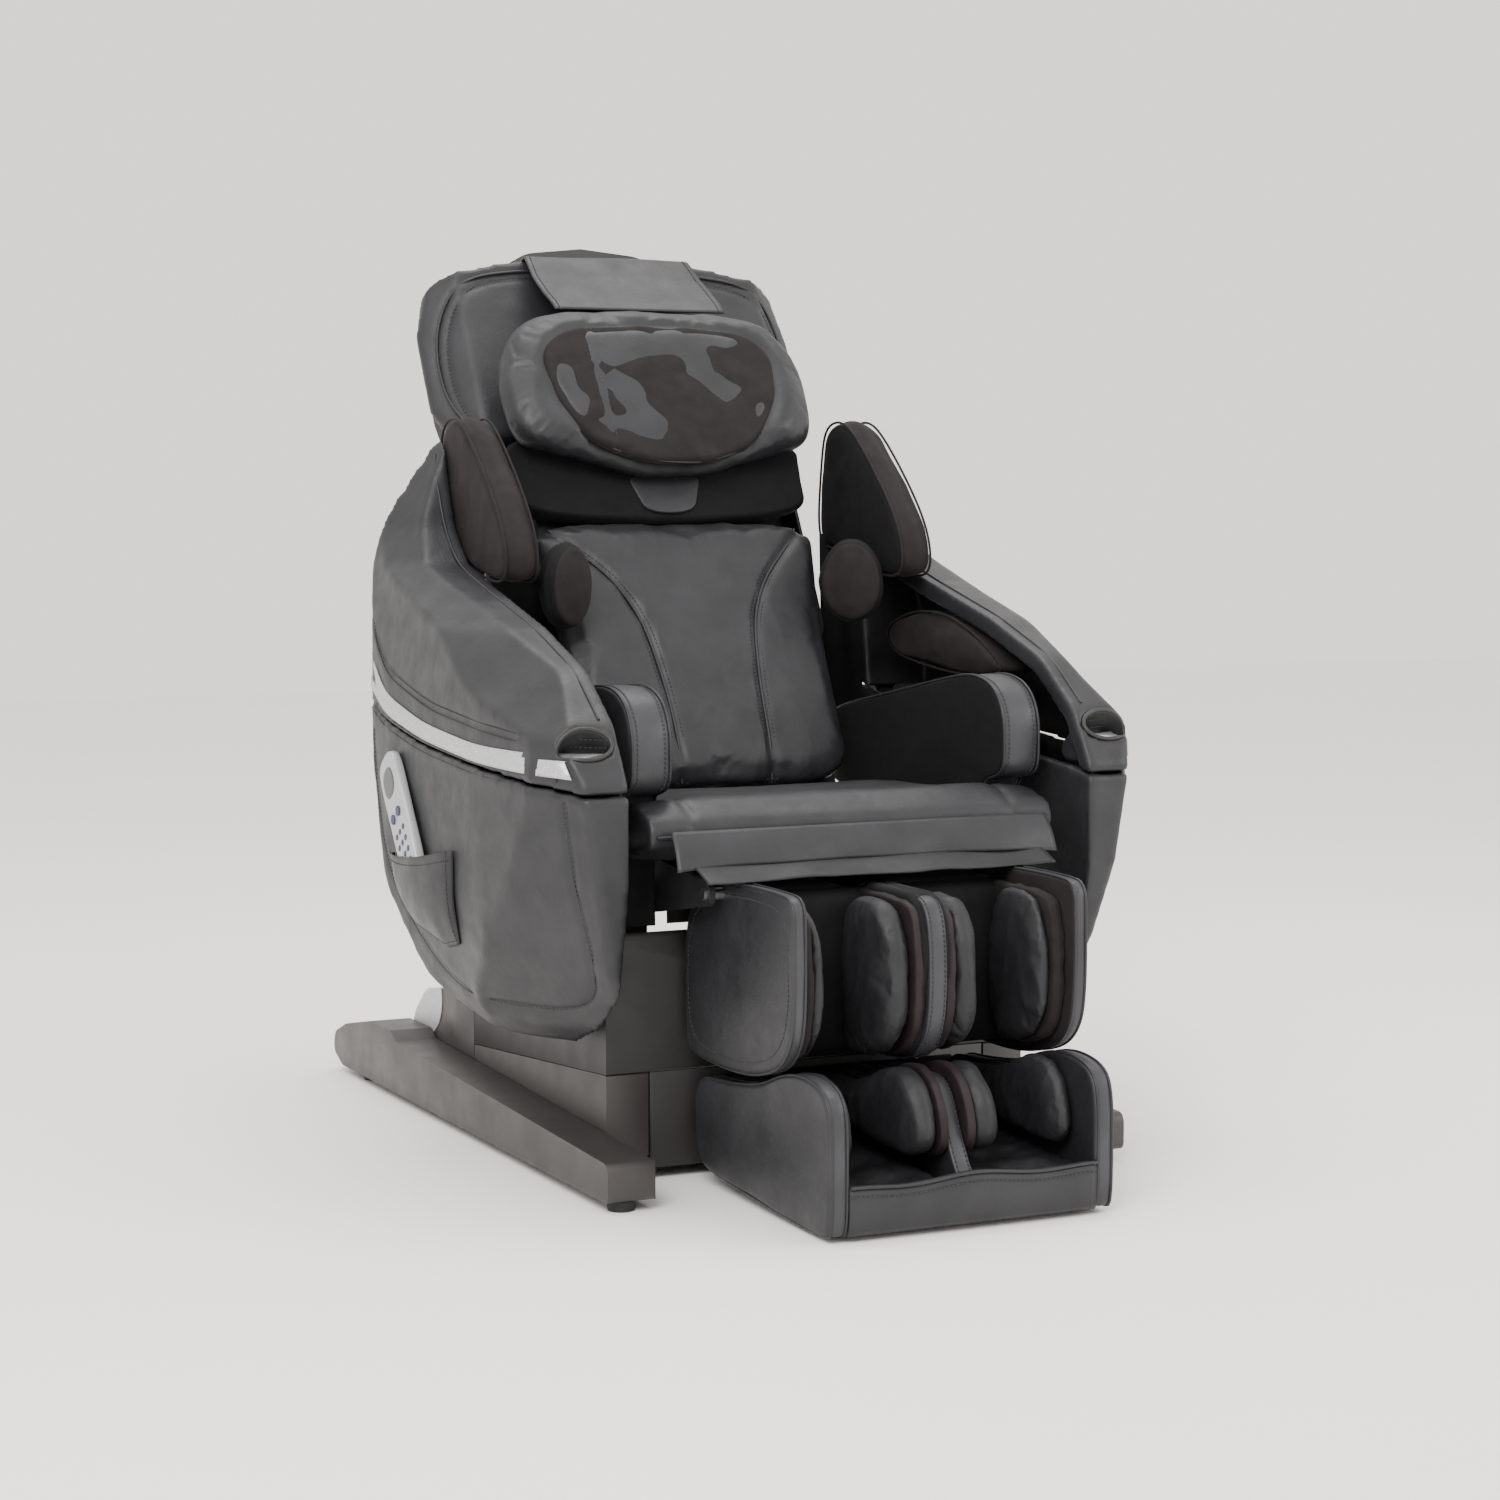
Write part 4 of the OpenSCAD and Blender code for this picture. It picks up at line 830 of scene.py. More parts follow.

# %% [markdown]
# ## Hip pads
# Each hip pad is sewn from two faces and a band. The face towards the sitter
# is black knit; the band that shows from the front is the lighter leather copy,
# painted light, piped on both edges with a row of stitches inside each edge.

# %% Hip pads
HIP_OUTLINE = [(206, 452), (212, 545), (190, 575), (-20, 612), (-170, 640), (-235, 648), (-290, 634),
               (-316, 598), (-318, 560), (-316, 522), (-286, 510), (-266, 508), (-264, 470), (-262, 452)]
for side, sign in SIDES:
    pad = slab("hip_pad_" + side, HIP_OUTLINE, lambda y, z, w, s=sign: on_side(y, z, s * w), (242, 301), 7,
               (3, 2), 2.5, 10, 150, (black, charcoal_painted_light, charcoal), centre=(-60, 550))
    finer(pad)
    fold(pad, 1.2, 110, seed=3 + sign)
    ready(pad, "base", ["hip_pads"])
    out = lambda y, z, w, s=sign: on_side(y, z, s * w)
    piping("hip_piping_" + side, [edge_line(HIP_OUTLINE, out, 245, 0.6), edge_line(HIP_OUTLINE, out, 298, 0.6)],
           "base", 2.0)
    stitches("hip_stitches_" + side, [edge_line(HIP_OUTLINE, out, 252, 2.2), edge_line(HIP_OUTLINE, out, 291, 2.2)],
             "base")
print("hip pads done")

# %% [markdown]
# ## Back pad
# The back pad is a broad, loosely filled panel: rollers push it from behind, so
# the leather lies in long soft folds. Two piped seams fan out to the shoulders.

# %% Back pad
BACK_OUTLINE = [(-203, 8), (0, 6), (203, 8), (208, 120), (213, 240), (224, 360), (230, 436), (0, 440),
                (-230, 436), (-224, 360), (-213, 240), (-208, 120)]
back = slab("back_pad_leather", BACK_OUTLINE, lambda x, s, n: on_back(x, s, n), (8, 45), 13, (7, 0), 1, 14, 200)
even_mesh(back, 6.5)
relax(back, 6)
inflate(back, 10)
finer(back)
front_only = lambda co: np.clip(1.2 - np.abs(co[:, 0]) / 0.20, 0.25, 1.0)
fold(back, 3.6, 120, (1.5, 0.8, 0.55), 5, front_only)
fold(back, 1.6, 45, (1.2, 0.8, 0.6), 9, front_only)
seam_half = [(214, 432), (170, 382), (118, 330), (86, 262), (73, 160), (70, 20)]
back_seams = [np.array([on_back(sign * x, s, 0) for x, s in seam_half]) for _, sign in SIDES]
toward_back = Vector(on_back(0, 0, 1)) - Vector(on_back(0, 0, 0))
back_laid = [cast(back, line, toward_back, 0.0) for line in back_seams]
groove(back, back_laid, 5.0, 9)
ready(back, "backrest", ["back_pad"])
piping("back_piping", [cast(back, line, toward_back, 1.0) for line in back_seams], "backrest", 2.3)
stitches("back_stitches", [cast(back, line + np.array([d / 1000, 0, 0]), toward_back, 0.3)
                           for line in back_seams for d in (-8, 8)], "backrest")
print("back pad:", len(back.data.polygons), "faces")

# %% Neck band with its patch
NECK_OUTLINE = [(-222, 436), (222, 436), (232, 500), (240, 582), (-240, 582), (-232, 500)]
neck = slab("neck_band_knit", NECK_OUTLINE, lambda x, s, n: on_back(x, s, n), (14, 48), 10, (4, 0), 1, 10, 160,
            (black, black, black))
finer(neck)
fold(neck, 3.0, 90, (0.5, 1, 1.6), 11)
ready(neck, "backrest", ["neck_band"])
PATCH = [(-38, 442), (38, 442), (50, 476), (60, 508), (-60, 508), (-50, 476)]
patch = slab("neck_patch", PATCH, lambda x, s, n: on_back(x, s, n), (7, 16), 3, (2, 0), 0, 6, 80)
ready(patch, "backrest")

# %% [markdown]
# ## Wings, pillow and strap
# Behind the head the back widens into upholstered wings, outlined by a line of
# piping and a row of stitches. The pillow hangs from a leather strap that runs over
# the top; its brown panel is sewn in flush, with one upright seam.

# %% Wings
wings = from_node("back_wings", "back_wings_leather", charcoal, 6.0, 22)
WING_HALF = [(0, 882), (150, 880), (262, 862), (296, 786), (299, 700), (292, 652), (250, 585)]
wing_lines = []
for inset_mm in (12, 24):
    half = [(x * (1 - inset_mm / 300), s - inset_mm * 0.8) for x, s in WING_HALF]
    full = [(-x, s) for x, s in reversed(half)] + half[1:]
    dense = even(np.array(full), 90)
    for _ in range(6):
        dense[1:-1] = (dense[:-2] + 2 * dense[1:-1] + dense[2:]) / 4
    wing_lines.append(cast(wings, np.array([on_back(x, s, 40) for x, s in dense]), toward_back, 0.6))
groove(wings, wing_lines, 2.5, 6)
ready(wings, "backrest", ["back_wings"])
piping("wing_piping", [wing_lines[0]], "backrest", 2.2)
stitches("wing_stitches", [wing_lines[1]], "backrest")

# %% Pillow
PILLOW_HALF = [(0, 478), (60, 482), (120, 500), (190, 522), (234, 538), (247, 580), (246, 640), (236, 690),
               (200, 736), (140, 756), (70, 762), (0, 763)]
PANEL_HALF = [(0, 490), (60, 494), (112, 514), (150, 546), (174, 590), (184, 640), (180, 676), (150, 704),
              (90, 714), (0, 716)]
pillow = slab("pillow_leather", mirrored(PILLOW_HALF), lambda x, s, n: on_back(x, s, n), (-50, 6), 24, (6, 2), 3,
              12, 200)
even_mesh(pillow, 6.0)
relax(pillow, 6)
inflate(pillow, 9)
finer(pillow)
fold(pillow, 2.2, 110, seed=21)
panel_edge = np.array([on_back(x, s, -50) for x, s in smooth_loop(mirrored(PANEL_HALF), 120)])
panel_edge = np.vstack([panel_edge, panel_edge[:1]])
groove(pillow, [cast(pillow, panel_edge, toward_back)], 5, 10)
ready(pillow, "pillow", ["pillow"])
panel = slab("pillow_panel_knit", mirrored(PANEL_HALF), lambda x, s, n: on_back(x, s, n), (-61, -40), 9, (5, 0), 1,
             14, 200, (brown, brown, brown))
finer(panel)
fold(panel, 2.6, 70, (0.7, 1, 1.3), 23)
upright = np.array([on_back(-100 + 5 * math.sin(s / 60), s, -60) for s in np.linspace(510, 706, 30)])
groove(panel, [cast(panel, upright, toward_back)], 2.5, 5)
ready(panel, "pillow", ["pillow_panel"])
piping("pillow_piping", [cast(panel, panel_edge * 1.0, toward_back, 0.5)], "pillow", 1.8)
stitches("pillow_stitches", [cast(panel, upright + np.array([0.004, 0, 0]), toward_back, 0.4)], "pillow")

# %% Strap over the top
STRAP = [(-30, 752), (-22, 768), (-2, 796), (24, 838), (36, 868), (44, 886), (62, 892), (114, 892)]


def strap_shape(u, v):
    line = even(np.array(STRAP, float), 40)
    n, s = line[min(39, int(round(v * 39)))]
    half = 136 + 8 * math.sin(math.pi * v) - 14 * v
    ripple = 2.2 * math.sin(7 * u + 5 * v) * math.sin(math.pi * v)
    return on_back(-half + 2 * half * u, s + 3.0, n - ripple - 4)


strap = cloth_grid("pillow_strap", strap_shape, charcoal, 49, 40, 3.0)
ready(strap, "pillow")
strap_edges = [np.array([strap_shape(u, v) for v in np.linspace(0.0, 1.0, 40)]) for u in (0.03, 0.97)]
stitches("strap_stitches", [line + np.array(on_back(0, 0, -2.2)) - np.array(on_back(0, 0, 0))
                            for line in strap_edges], "pillow")
print("head end done")

# %% [markdown]
# ## Arm shells
# Each arm is a moulded shell under stitched leather: an upper cover and a lower
# panel that meet at a seam. The CAD shells are remeshed evenly and relaxed, so
# that their edges turn as leather over foam does, and the seams are laid on
# the finished surface.

# %% Arm shells
ARM_SEAM = [(263, 601), (202, 584), (38, 559), (-154, 543), (-331, 537), (-392, 532)]
ARM_UPPER = [(284, 740), (251, 703), (179, 648), (-3, 611), (-191, 594), (-355, 582)]
ARM_RIDGE = [(268, 950), (250, 905), (229, 850), (180, 800), (64, 765), (-87, 724), (-258, 676), (-338, 612)]
ARM_LOW = [(252, 560), (240, 490), (190, 400), (140, 340), (70, 290), (-20, 250), (-120, 232), (-250, 230),
           (-320, 246), (-344, 280), (-352, 340), (-354, 420), (-356, 510)]
STRIPE_TOP = [(280, 668), (239, 658), (187, 620), (23, 588), (-168, 571), (-360, 570)]
STRIPE_LOW = [(280, 622), (239, 616), (188, 592), (23, 565), (-167, 548), (-374, 541)]


def outer_line(points, sign):
    return np.array([on_side(y, z, sign * 500) for y, z in points])


def soft_curve(line, rounds=4):
    line = even(line, 60)
    for _ in range(rounds):
        line[1:-1] = (line[:-2] + 2 * line[1:-1] + line[2:]) / 4
    return line


def ribbon(name, obj, first, second, way, finish, lift_mm=1.0, thick_mm=1.6, rows=5):
    """A narrow band laid on a surface between two lines."""
    grid = [cast(obj, first * (1 - t) + second * t, way, lift_mm) for t in np.linspace(0, 1, rows)]
    count = min(len(g) for g in grid)
    grid = [even(g, count) for g in grid]
    points = [tuple(p) for g in grid for p in g]
    faces = [(r * count + i, r * count + i + 1, (r + 1) * count + i + 1, (r + 1) * count + i)
             for r in range(rows - 1) for i in range(count - 1)]
    band = to_object(name, points, faces, [finish])
    mod = band.modifiers.new("thick", "SOLIDIFY")
    mod.thickness, mod.offset = thick_mm / 1000, 0.0
    return settle(band)


PORT_TILT = math.radians(48)
PORT_WAY = np.array([0, math.sin(PORT_TILT), -math.cos(PORT_TILT)])
PORT_UP = np.array([0, math.cos(PORT_TILT), math.sin(PORT_TILT)])


def port_oval(sign, grow_mm, count=48):
    """The oval of the hand opening, in the plane across its axis."""
    middle = np.array([sign * 0.3786, -0.344, 0.570])
    turns = [2 * math.pi * i / count for i in range(count)]
    return np.array([middle + np.array([sign, 0, 0]) * (34 + grow_mm) * math.cos(t) / 1000
                     + PORT_UP * (20 + grow_mm) * math.sin(t) / 1000 for t in turns])


def port_depths(obj, sign):
    """How far the shell lies along the axis all round the opening, evened out."""
    tree = BVHTree.FromPolygons([v.co for v in obj.data.vertices], [p.vertices for p in obj.data.polygons])
    far = []
    for p in port_oval(sign, 5):
        hit = tree.ray_cast(Vector(p - PORT_WAY * 0.3), Vector(PORT_WAY))[0]
        far.append(float("nan") if hit is None else float((np.array(hit) - p) @ PORT_WAY))
    far = np.array(far)
    usual = np.nanmedian(far)
    far = np.where(np.isfinite(far), far, usual)
    far = np.clip(far, usual - 0.020, usual + 0.020)
    for _ in range(10):
        far = (np.roll(far, 1) + 2 * far + np.roll(far, -1)) / 4
    return far


def port_cup(name, sign, far):
    """A dark lining: an oval cup that starts at the shell's surface."""
    rows = [(1.2, -0.001), (-0.8, -0.0015), (-2.5, 0.002), (-4.0, 0.030), (-16.0, 0.034), (-12.0, 0.037),
            (-1.0, 0.034), (1.2, 0.004)]
    points = [p + PORT_WAY * (d + deep) for grow, deep in rows for p, d in zip(port_oval(sign, grow), far)]
    n, total = 48, len(rows)
    faces = [(r * n + i, r * n + (i + 1) % n, ((r + 1) % total) * n + (i + 1) % n, ((r + 1) % total) * n + i)
             for r in range(total) for i in range(n) if r != 4]
    faces += [tuple(4 * n + i for i in range(n)), tuple(5 * n + i for i in range(n))]
    return to_object(name, points, faces, [abs_black])


for side, sign in SIDES:
    body = side + "_arm"
    inward = (-sign, 0, 0)
    cover = from_node("arm_cover_" + side, "arm_cover_leather_" + side, charcoal, 4.6, 60,
                      ("arm_stripe_" + side,))
    ridge = snap(cover, soft_curve(np.array([on_side(y, z, sign * 352) for y, z in ARM_RIDGE])), 0.3)
    upper = cast(cover, soft_curve(outer_line(ARM_UPPER, sign)), inward, 0.2)
    groove(cover, [upper], 2.0, 5)
    ready(cover, body, ["arm_cover_" + side])
    lower = from_node("arm_panel_" + side, "arm_panel_leather_" + side, charcoal, 5.0, 60)
    low = cast(lower, soft_curve(outer_line(ARM_LOW, sign), 3), inward, 0.2)
    groove(lower, [low], 2.2, 6)
    ready(lower, body, ["arm_panel_" + side])
    stripe = ribbon("arm_stripe_silver_" + side, cover, soft_curve(outer_line(STRIPE_TOP, sign)),
                    soft_curve(outer_line(STRIPE_LOW, sign)), inward, silver, 1.4)
    ready(stripe, body, ["arm_stripe_" + side])
    piping("arm_piping_" + side, [ridge, cast(cover, soft_curve(outer_line(ARM_SEAM, sign)) +
                                              np.array([0, 0, 0.004]), inward, 0.2)], body, 2.0)
    stitches("arm_stitches_" + side,
             [upper + np.array([0, 0, 0.005]), upper - np.array([0, 0, 0.005]), low,
              cast(lower, soft_curve(outer_line(ARM_SEAM, sign)) - np.array([0, 0, 0.010]), inward, 0.4)], body)
    far = port_depths(cover, sign)
    rim = np.array([p + PORT_WAY * (d - 0.0005) for p, d in zip(port_oval(sign, 1.5), far)])
    piping("hand_port_rim_" + side, [np.vstack([rim, rim[:2]])], body, 3.0, abs_dark, "dark_plastic")
    ready(port_cup("hand_port_cup_" + side, sign, far), body)
print("arm shells done")

# %% [markdown]
# ## Pads of the arms
# Airbag pads hold the sitter: a tall one at each shoulder, a round one at the
# upper arm, and a pair that closes on the forearm. The outer faces and bands
# are brown knit and the faces towards the sitter are black.

# %% Arm pads
SHOULDER = [(312, 815), (298, 945), (284, 990), (230, 999), (172, 963), (64, 862), (36, 800), (54, 769),
            (136, 778), (244, 808)]
SHOULDER_MIDDLE = (190, 880)
FOREARM_TOP = [(186, 690), (120, 714), (60, 722), (-20, 716), (-100, 688), (-158, 656), (-164, 644),
               (-112, 634), (-20, 636), (70, 644), (150, 655)]
FOREARM_LOW = [(158, 614), (60, 604), (-60, 590), (-150, 578), (-154, 560), (-140, 552), (-60, 560), (60, 576),
               (156, 592)]
for side, sign in SIDES:
    body, out = side + "_arm", (lambda y, z, w, s=sign: on_side(y, z, s * w))
    shoulder = slab("shoulder_pad_" + side, SHOULDER, out, (279, 330), 14, (5, 0), 4, 10, 160,
                    (black, brown, brown), centre=SHOULDER_MIDDLE)
    finer(shoulder)
    fold(shoulder, 2.2, 80, seed=31)
    ready(shoulder, body, ["arm_pads_" + side])
    piping("shoulder_piping_" + side, [edge_line(SHOULDER, out, w, 1.0, centre=SHOULDER_MIDDLE) for w in (282, 328)],
           body, 1.8, brown, "fabric_brown")
    turn = math.radians(-30 * sign)
    side_way = Vector((math.cos(turn), math.sin(turn), 0))
    face_way = Vector((-math.sin(turn), math.cos(turn), 0))
    spot = Vector((sign * 0.223, 0.085, 0.765))

    def around(u, v, w):
        return tuple(spot + (side_way * u + face_way * w) / 1000 + Vector((0, 0, v / 1000)))

    oval = [(46 * math.cos(t), 59 * math.sin(t)) for t in np.linspace(0, 2 * math.pi, 25)[:-1]]
    cap = slab("upper_arm_pad_" + side, oval, around, (-17, 20), 14, (6, 0), 2, 8, 96, (brown, black, black))
    finer(cap)
    fold(cap, 2.0, 60, seed=33 + sign)
    ready(cap, body)
    top = slab("forearm_pad_top_" + side, FOREARM_TOP, out, (325, 396), 20, (6, 0), 3, 10, 140,
               (brown, brown, black), centre=(10, 678))
    finer(top)
    fold(top, 2.6, 70, seed=35)
    ready(top, body)
    low_pad = slab("forearm_pad_low_" + side, FOREARM_LOW, out, (325, 396), 12, (4, 0), 2, 8, 120,
                   (black, black, black), centre=(0, 584))
    finer(low_pad)
    fold(low_pad, 1.6, 70, seed=37)
    ready(low_pad, body)
    piping("forearm_piping_" + side, [edge_line(FOREARM_TOP, out, 330, 0.5)], body, 1.6, brown, "fabric_brown")
print("arm pads done")

# %% [markdown]
# ## Leg rest
# Two troughs for the calves lie between three walls. Each outer wall is a piped
# leather panel whose band round its front is the lighter leather copy, painted
# light; inside it come a brown knit strip and a rounded airbag in the darker
# leather copy, painted shade. The middle wall has the same layers on both sides.

# %% Calf walls and airbags
CALF_WALL = [(-280, 404), (-560, 410), (-590, 402), (-593, 370), (-593, 250), (-572, 208), (-530, 184),
             (-440, 168), (-300, 172), (-280, 192)]
CALF_MIDDLE = [(-330, 396), (-540, 398), (-572, 384), (-583, 330), (-582, 250), (-562, 206), (-520, 184),
               (-430, 180), (-330, 186)]
CALF_BROWN = [(-330, 388), (-540, 392), (-568, 374), (-577, 320), (-576, 250), (-556, 208), (-510, 190),
              (-430, 186), (-330, 190)]
CALF_BAG = [(-434, 384), (-520, 392), (-556, 372), (-573, 320), (-573, 250), (-552, 210), (-500, 188), (-434, 190)]


def puffy(name, outline, out, across, body, finish, cap_mm, voxel, crown=(4, 4), edge=10, seed=1):
    """A pad of one finish, inflated, with short puckers at its seam."""
    pad = slab(name, outline, out, across, edge, crown, 2, 10, 140, (finish,) * 3)
    even_mesh(pad, voxel)
    inflate(pad, cap_mm)
    finer(pad)
    fold(pad, 1.8, 48, (1, 1.4, 0.7), seed)
    return ready(pad, body)


for side, sign in SIDES:
    out = lambda y, z, w, s=sign: on_side(y, z, s * w)
    wall = slab("calf_wall_" + side, CALF_WALL, out, (187, 208), 5, (0, 3), 1, 10, 180,
                (brown, charcoal_painted_light, charcoal), centre=(-440, 290))
    finer(wall)
    fold(wall, 1.0, 120, seed=41)
    ready(wall, "legrest", ["calf_sides"])
    piping("calf_piping_" + side, [edge_line(CALF_WALL, out, 190, 0.4), edge_line(CALF_WALL, out, 205, 0.4)],
           "legrest", 1.9)
    inner_ring = [(y * 0.94 - 26.4, (z - 290) * 0.88 + 290) for y, z in CALF_WALL]
    stitches("calf_stitches_" + side, [cast(wall, edge_line(inner_ring, out, 230), (-sign, 0, 0), 0.3)], "legrest")
    strip = slab("calf_strip_outer_" + side, CALF_BROWN, out, (169, 186), 5, (1, 0), 1, 8, 140, (brown,) * 3,
                 centre=(-450, 290))
    finer(strip)
    fold(strip, 1.6, 40, seed=43)
    ready(strip, "legrest")
    puffy("calf_bag_outer_" + side, CALF_BAG, out, (153, 168), "legrest", charcoal_painted_shade, 4, 5,
          (3, 0), 6, 45 + sign)
    strip = slab("calf_strip_inner_" + side, CALF_BROWN, out, (14, 29), 5, (0, 1), 1, 8, 140, (maroon,) * 3,
                 centre=(-450, 290))
    finer(strip)
    fold(strip, 1.6, 40, seed=47)
    ready(strip, "legrest", ["calf_airbags"])
    puffy("calf_bag_inner_" + side, CALF_BAG, out, (31, 66), "legrest", charcoal_painted_shade, 6, 5,
          (0, 3), 14, 49 + sign)
across = lambda y, z, w: on_side(y, z, w)
middle = slab("calf_middle_wall", CALF_MIDDLE, across, (-13, 13), 4, (0, 0), 1, 10, 180,
              (charcoal, charcoal_painted_light, charcoal), centre=(-440, 290))
finer(middle)
ready(middle, "legrest", ["calf_body"])
stitches("calf_middle_stitches", [edge_line(CALF_MIDDLE, across, w, 1.0) for w in (-9, 9)], "legrest")
rear_wall = from_node("calf_body", "calf_rear_wall", black, 6.0, 10)
ready(rear_wall, "legrest")
print("leg rest done")

# %% [markdown]
# ## Foot unit
# The foot unit is an open boot: two side walls, a tray with a raised toe strip,
# a low middle wall, wrinkled sole pads and airbags like tongues. The soles, the
# airbags and the walls' inner faces take the darker leather copy as painted shade,
# and the walls' bands the lighter copy as painted light.

# %% Foot tray
def tray_profile(x):
    rise = 66 + 5 * (1 - (x / 170) ** 2) + 3 * math.cos(x / 28)
    bow = 3 * (1 - (x / 170) ** 2)
    return [(-290, 138), (-291, 50), (-296, 40), (-325, 27), (-440, 16), (-560, 9), (-640, 8), (-672, 8),
            (-677 - bow, 14), (-678 - bow, rise - 8), (-675 - bow, rise - 1), (-669 - bow, rise),
            (-664, rise - 5), (-661, 34), (-640, 30), (-560, 28), (-440, 34), (-330, 40), (-321, 48),
            (-319, 130), (-306, 142)]


steps = np.linspace(-172, 172, 45)
points = [on_side(y, z, x) for x in steps for y, z in tray_profile(x)]
size = len(tray_profile(0))
faces = [(i * size + j, i * size + (j + 1) % size, (i + 1) * size + (j + 1) % size, (i + 1) * size + j)
         for i in range(len(steps) - 1) for j in range(size)]
faces += [tuple(range(size)), tuple(range((len(steps) - 1) * size, len(steps) * size))]
tray = to_object("foot_tray_leather", points, faces, [charcoal])
ready(tray, "footrest", ["foot_shell"])
toe_top = np.array([on_side(-679 - 3 * (1 - (x / 170) ** 2), tray_profile(x)[10][1] - 9, x) for x in steps])
piping("toe_piping", [toe_top + np.array([0, 0.001, 0.009])], "footrest", 2.2)
stitches("toe_stitches", [toe_top + np.array([0, 0.0, -0.002])], "footrest")

FOOT_WALL = [(-288, 142), (-289, 60), (-300, 34), (-330, 22), (-560, 8), (-660, 7), (-674, 12), (-675, 90),
             (-674, 150), (-660, 182), (-600, 193), (-540, 184), (-480, 160), (-380, 146)]
FOOT_MIDDLE = [(-322, 30), (-322, 148), (-400, 154), (-480, 164), (-570, 176), (-600, 158), (-622, 110),
               (-644, 72), (-658, 60), (-662, 34)]
FOOT_BAG = [(-328, 92), (-336, 144), (-470, 156), (-545, 190), (-596, 184), (-628, 150), (-640, 96), (-600, 74)]
for side, sign in SIDES:
    out = lambda y, z, w, s=sign: on_side(y, z, s * w)
    wall = slab("foot_wall_" + side, FOOT_WALL, out, (171, 199), 7, (2, 2), 1, 10, 180,
                (charcoal_painted_shade, charcoal_painted_light, charcoal), centre=(-480, 90))
    finer(wall)
    fold(wall, 1.0, 130, seed=51)
    ready(wall, "footrest")
    piping("foot_piping_" + side, [edge_line(FOOT_WALL, out, 175, 0.4), edge_line(FOOT_WALL, out, 195, 0.4)],
           "footrest", 1.9)
    puffy("foot_bag_outer_" + side, FOOT_BAG, out, (144, 166), "footrest", charcoal_painted_shade, 4, 5,
          (3, 0), 8, 53 + sign)
    strip = slab("foot_strip_" + side, FOOT_BAG, out, (13, 25), 4, (0, 0), 1, 8, 120, (maroon,) * 3)
    finer(strip)
    fold(strip, 1.2, 40, seed=55)
    ready(strip, "footrest", ["foot_airbags"])
    puffy("foot_bag_inner_" + side, FOOT_BAG, out, (26, 60), "footrest", charcoal_painted_shade, 5, 5,
          (0, 4), 14, 57 + sign)

    def sole_shape(u, v, s=sign):
        x = 30 + 138 * u
        y = -324 - 334 * v
        z = 62 - 22 * v + 22 * math.cos(math.pi * u) ** 2 * (1 - 0.4 * v) - 6 * math.sin(math.pi * v)
        z += 4.0 * math.sin(26 * v + 3 * math.sin(4 * u)) * math.sin(math.pi * u)
        return on_side(y, z, s * x)

    sole = cloth_grid("sole_pad_" + side, sole_shape, charcoal_painted_shade, 41, 61, 9.0)
    fold(sole, 2.2, 40, (0.8, 1.6, 1), 59)
    ready(sole, "footrest", ["sole_pads"])
middle = slab("foot_middle_wall", FOOT_MIDDLE, across, (-12, 12), 4, (0, 0), 1, 10, 160,
              (charcoal, charcoal_painted_light, charcoal))
finer(middle)
ready(middle, "footrest")
stitches("foot_middle_stitches", [edge_line(FOOT_MIDDLE, across, w, 1.0) for w in (-8, 8)], "footrest")
print("foot unit done")

# %% [markdown]
# ## Painted shade behind the gaps
# Sheets of near-black knit stand in for the shade in the gaps that would show the
# floor behind the chair: painted shade under the seat's front edge, and between
# each arm and the backrest.

# %% Sheets of painted shade
def lining(name, corners, body):
    """A thin upright sheet of near-black knit between four corners, slightly slack: painted shade in a gap."""
    a, b, c, d = (np.array(on_side(*p)) for p in corners)

    def shape(u, v):
        p = (a * (1 - u) + b * u) * (1 - v) + (d * (1 - u) + c * u) * v
        return p + np.array([0, 0.003 * math.sin(9 * u + 2 * v) * math.sin(math.pi * v), 0])

    cloth = cloth_grid(name, shape, black, 21, 21, 2.0)
    ready(cloth, body)


# Near-black sheets as painted shade in the gaps.
lining("front_shade_sheet_middle", [(-252, 336, -221), (-252, 336, 221), (-252, 422, 221), (-252, 422, -221)], "base")
for side, sign in SIDES:
    lining("front_shade_sheet_" + side, [(-250, 334, sign * 237), (-250, 334, sign * 306), (-250, 440, sign * 306),
                                    (-250, 440, sign * 237)], "base")
    lining("arm_shade_sheet_" + side, [(262, 520, sign * 270), (262, 520, sign * 336), (282, 830, sign * 336),
                                  (282, 830, sign * 270)], side + "_arm")
print("lining cloth in place")

# %% [markdown]
# ## Pocket and handset
# A patch pocket is sewn to the left arm. Its mouth stands off the arm by the
# thickness of the handset that it holds, and the leather gathers at the sides.

# %% Side pocket
arm_left = bpy.data.objects["arm_panel_leather_left"]
arm_tree = BVHTree.FromPolygons([v.co for v in arm_left.data.vertices],
                                [p.vertices for p in arm_left.data.polygons])


def arm_surface(y, z):
    hit = arm_tree.ray_cast(Vector((-0.6, y / 1000, z / 1000)), Vector((1, 0, 0)))[0]
    return -400.0 if hit is None else hit.x * 1000


MOUTH = [(143, 399), (-92, 426)]
FLOOR = [(108, 331), (60, 306), (-44, 291), (-90, 302)]


def pocket_shape(u, v):
    mouth = np.array(MOUTH[0]) * (1 - u) + np.array(MOUTH[1]) * u
    foot = even(np.array(FLOOR, float), 41)[int(round(u * 40))]
    y, z = mouth * (1 - v) + foot * v
    sag = 7 * math.sin(math.pi * u) * (1 - v)
    z -= sag
    stand = max(0.0, math.sin(math.pi * min(1, max(0, u)))) ** 0.45 * (1 - v ** 3.2)
    surface = arm_surface(y, z)
    ripple = 1.2 * math.sin(19 * u + 6 * v) * stand * (1 - stand)
    x = surface - 1.5 + (-477.5 - surface + 1.5) * stand + ripple
    return on_side(y, z, x)


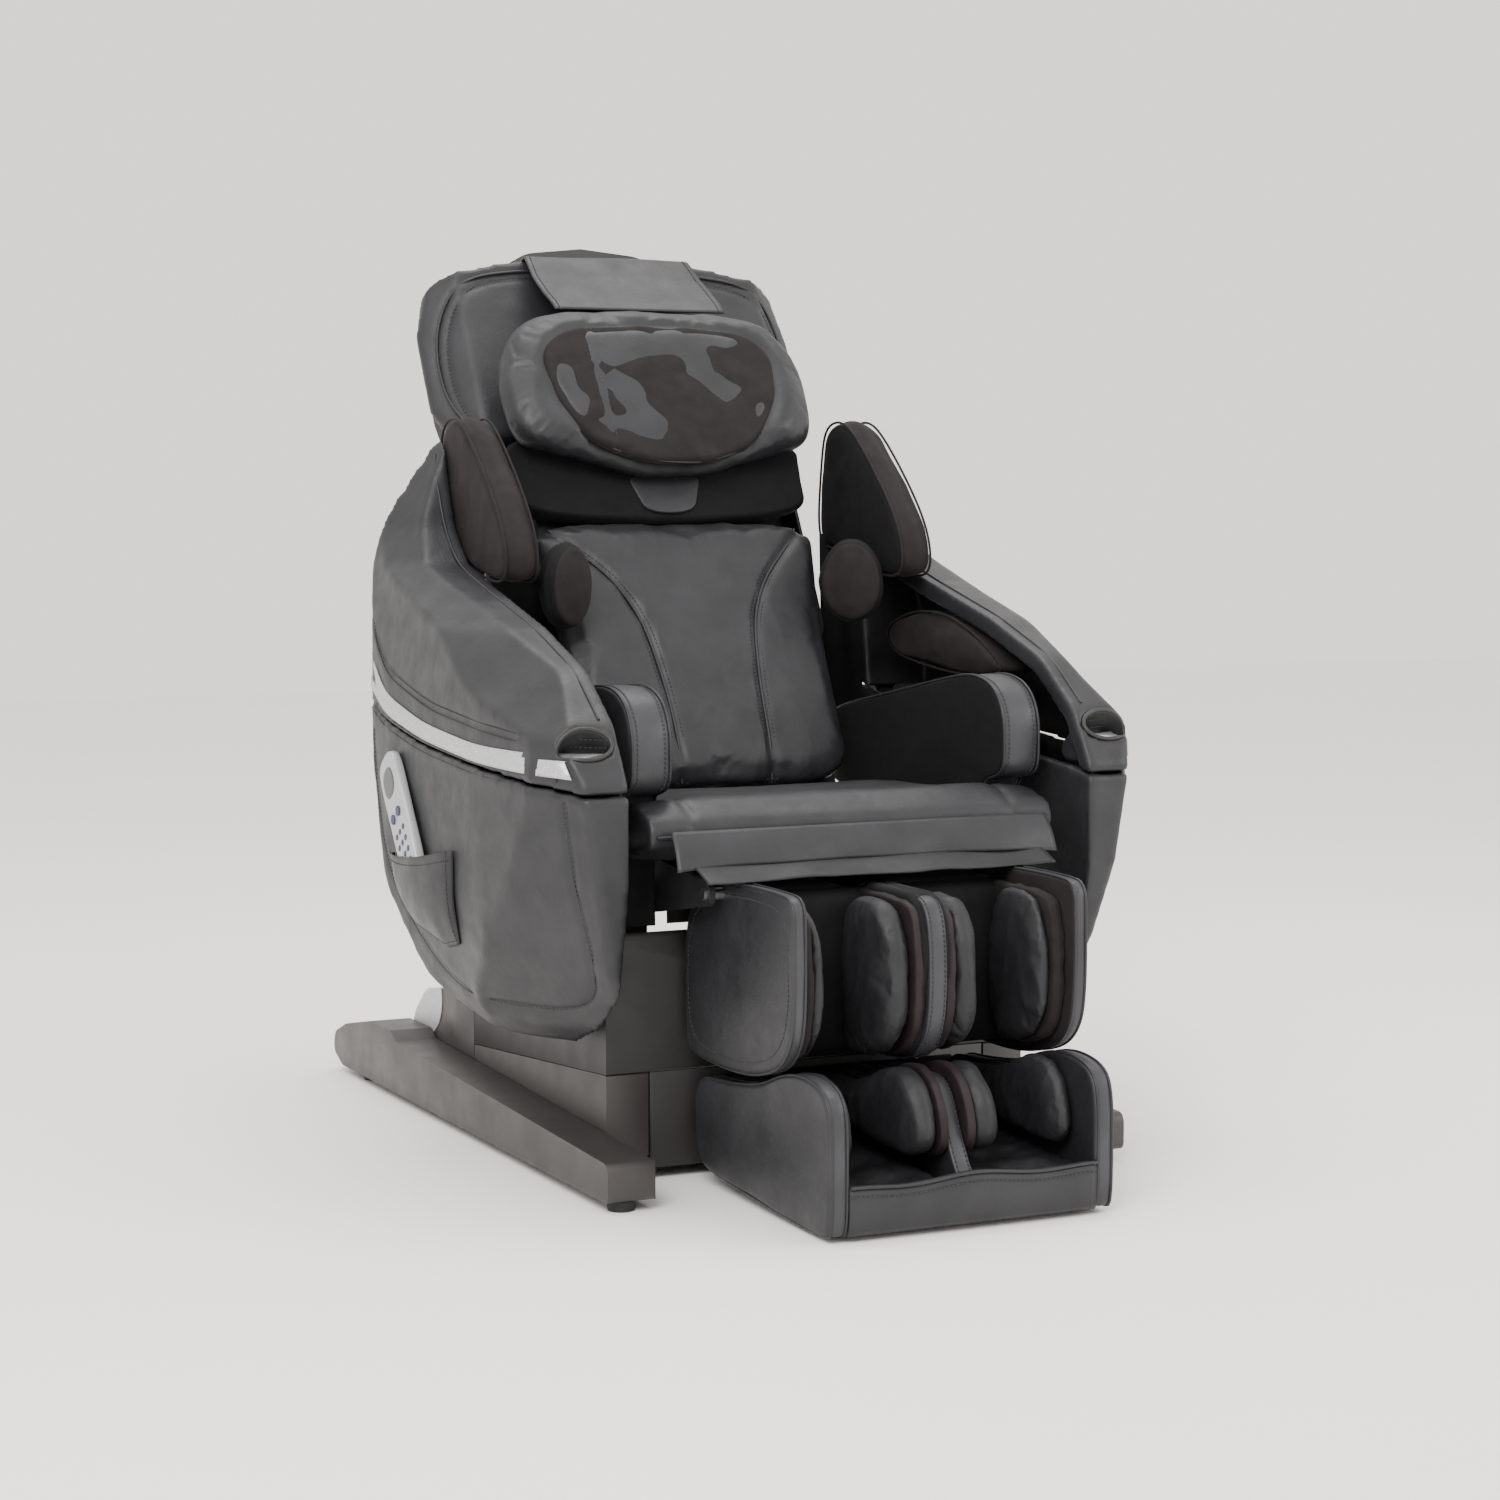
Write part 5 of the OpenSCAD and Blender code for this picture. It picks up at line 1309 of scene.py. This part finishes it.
pocket = cloth_grid("side_pocket_leather", pocket_shape, charcoal, 41, 25, 2.2)
ready(pocket, "left_arm", ["side_pocket"])
pocket_edge = [np.array([pocket_shape(u, 0.10) for u in np.linspace(0.02, 0.98, 40)]),
               np.array([pocket_shape(0.03, v) for v in np.linspace(0, 1, 25)]),
               np.array([pocket_shape(0.97, v) for v in np.linspace(0, 1, 25)]),
               np.array([pocket_shape(u, 0.96) for u in np.linspace(0.02, 0.98, 40)])]
stitches("pocket_stitches", [line + np.array([-0.0014, 0, 0]) for line in pocket_edge], "left_arm")

# %% Handset
LEAN_HANDSET = math.radians(36)


def on_handset(across, up, out):
    """Handset coordinates in millimetres: out is away from the arm."""
    c, s = math.cos(LEAN_HANDSET), math.sin(LEAN_HANDSET)
    return on_side(65 - 48 + c * across + s * up, 380 - 14 - s * across + c * up, -(459.5 + out))


CASE = [(-28, 0), (28, 0), (33, 60), (34, 130), (32, 190), (20, 205), (-20, 205), (-32, 190), (-34, 130), (-33, 60)]
case = slab("handset_case", CASE, on_handset, (0, 14.2), 4.5, (0, 0.6), 0.3, 10, 160,
            (silver_case, silver_case, silver_case))
ready(case, "handset", ["handset"])
SCREEN = [(-21, 142), (21, 142), (21, 184), (-21, 184)]
screen = slab("handset_display", SCREEN, on_handset, (13.2, 15.2), 0.6, (0, 0), 0, 4, 60, (screen_glass,) * 3)
ready(screen, "handset")
dots = []
for row in range(4):
    for col in (-1, 0, 1):
        spot_uv = (col * 15.0, 86 - row * 17.0)
        shape = [(spot_uv[0] + 5.2 * math.cos(t), spot_uv[1] + 4.2 * math.sin(t))
                 for t in np.linspace(0, 2 * math.pi, 13)[:-1]]
        dots.append(slab("handset_dot_%d%d" % (row, col + 1), shape, on_handset, (13.6, 15.4), 0.6, (0, 0.3), 0,
                         3, 24, (key_blue,) * 3))
for dot in dots:
    ready(dot, "handset")
print("pocket and handset done")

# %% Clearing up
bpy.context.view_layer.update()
bpy.data.scenes.remove(BENCH)                 # the scratch scene has done its work
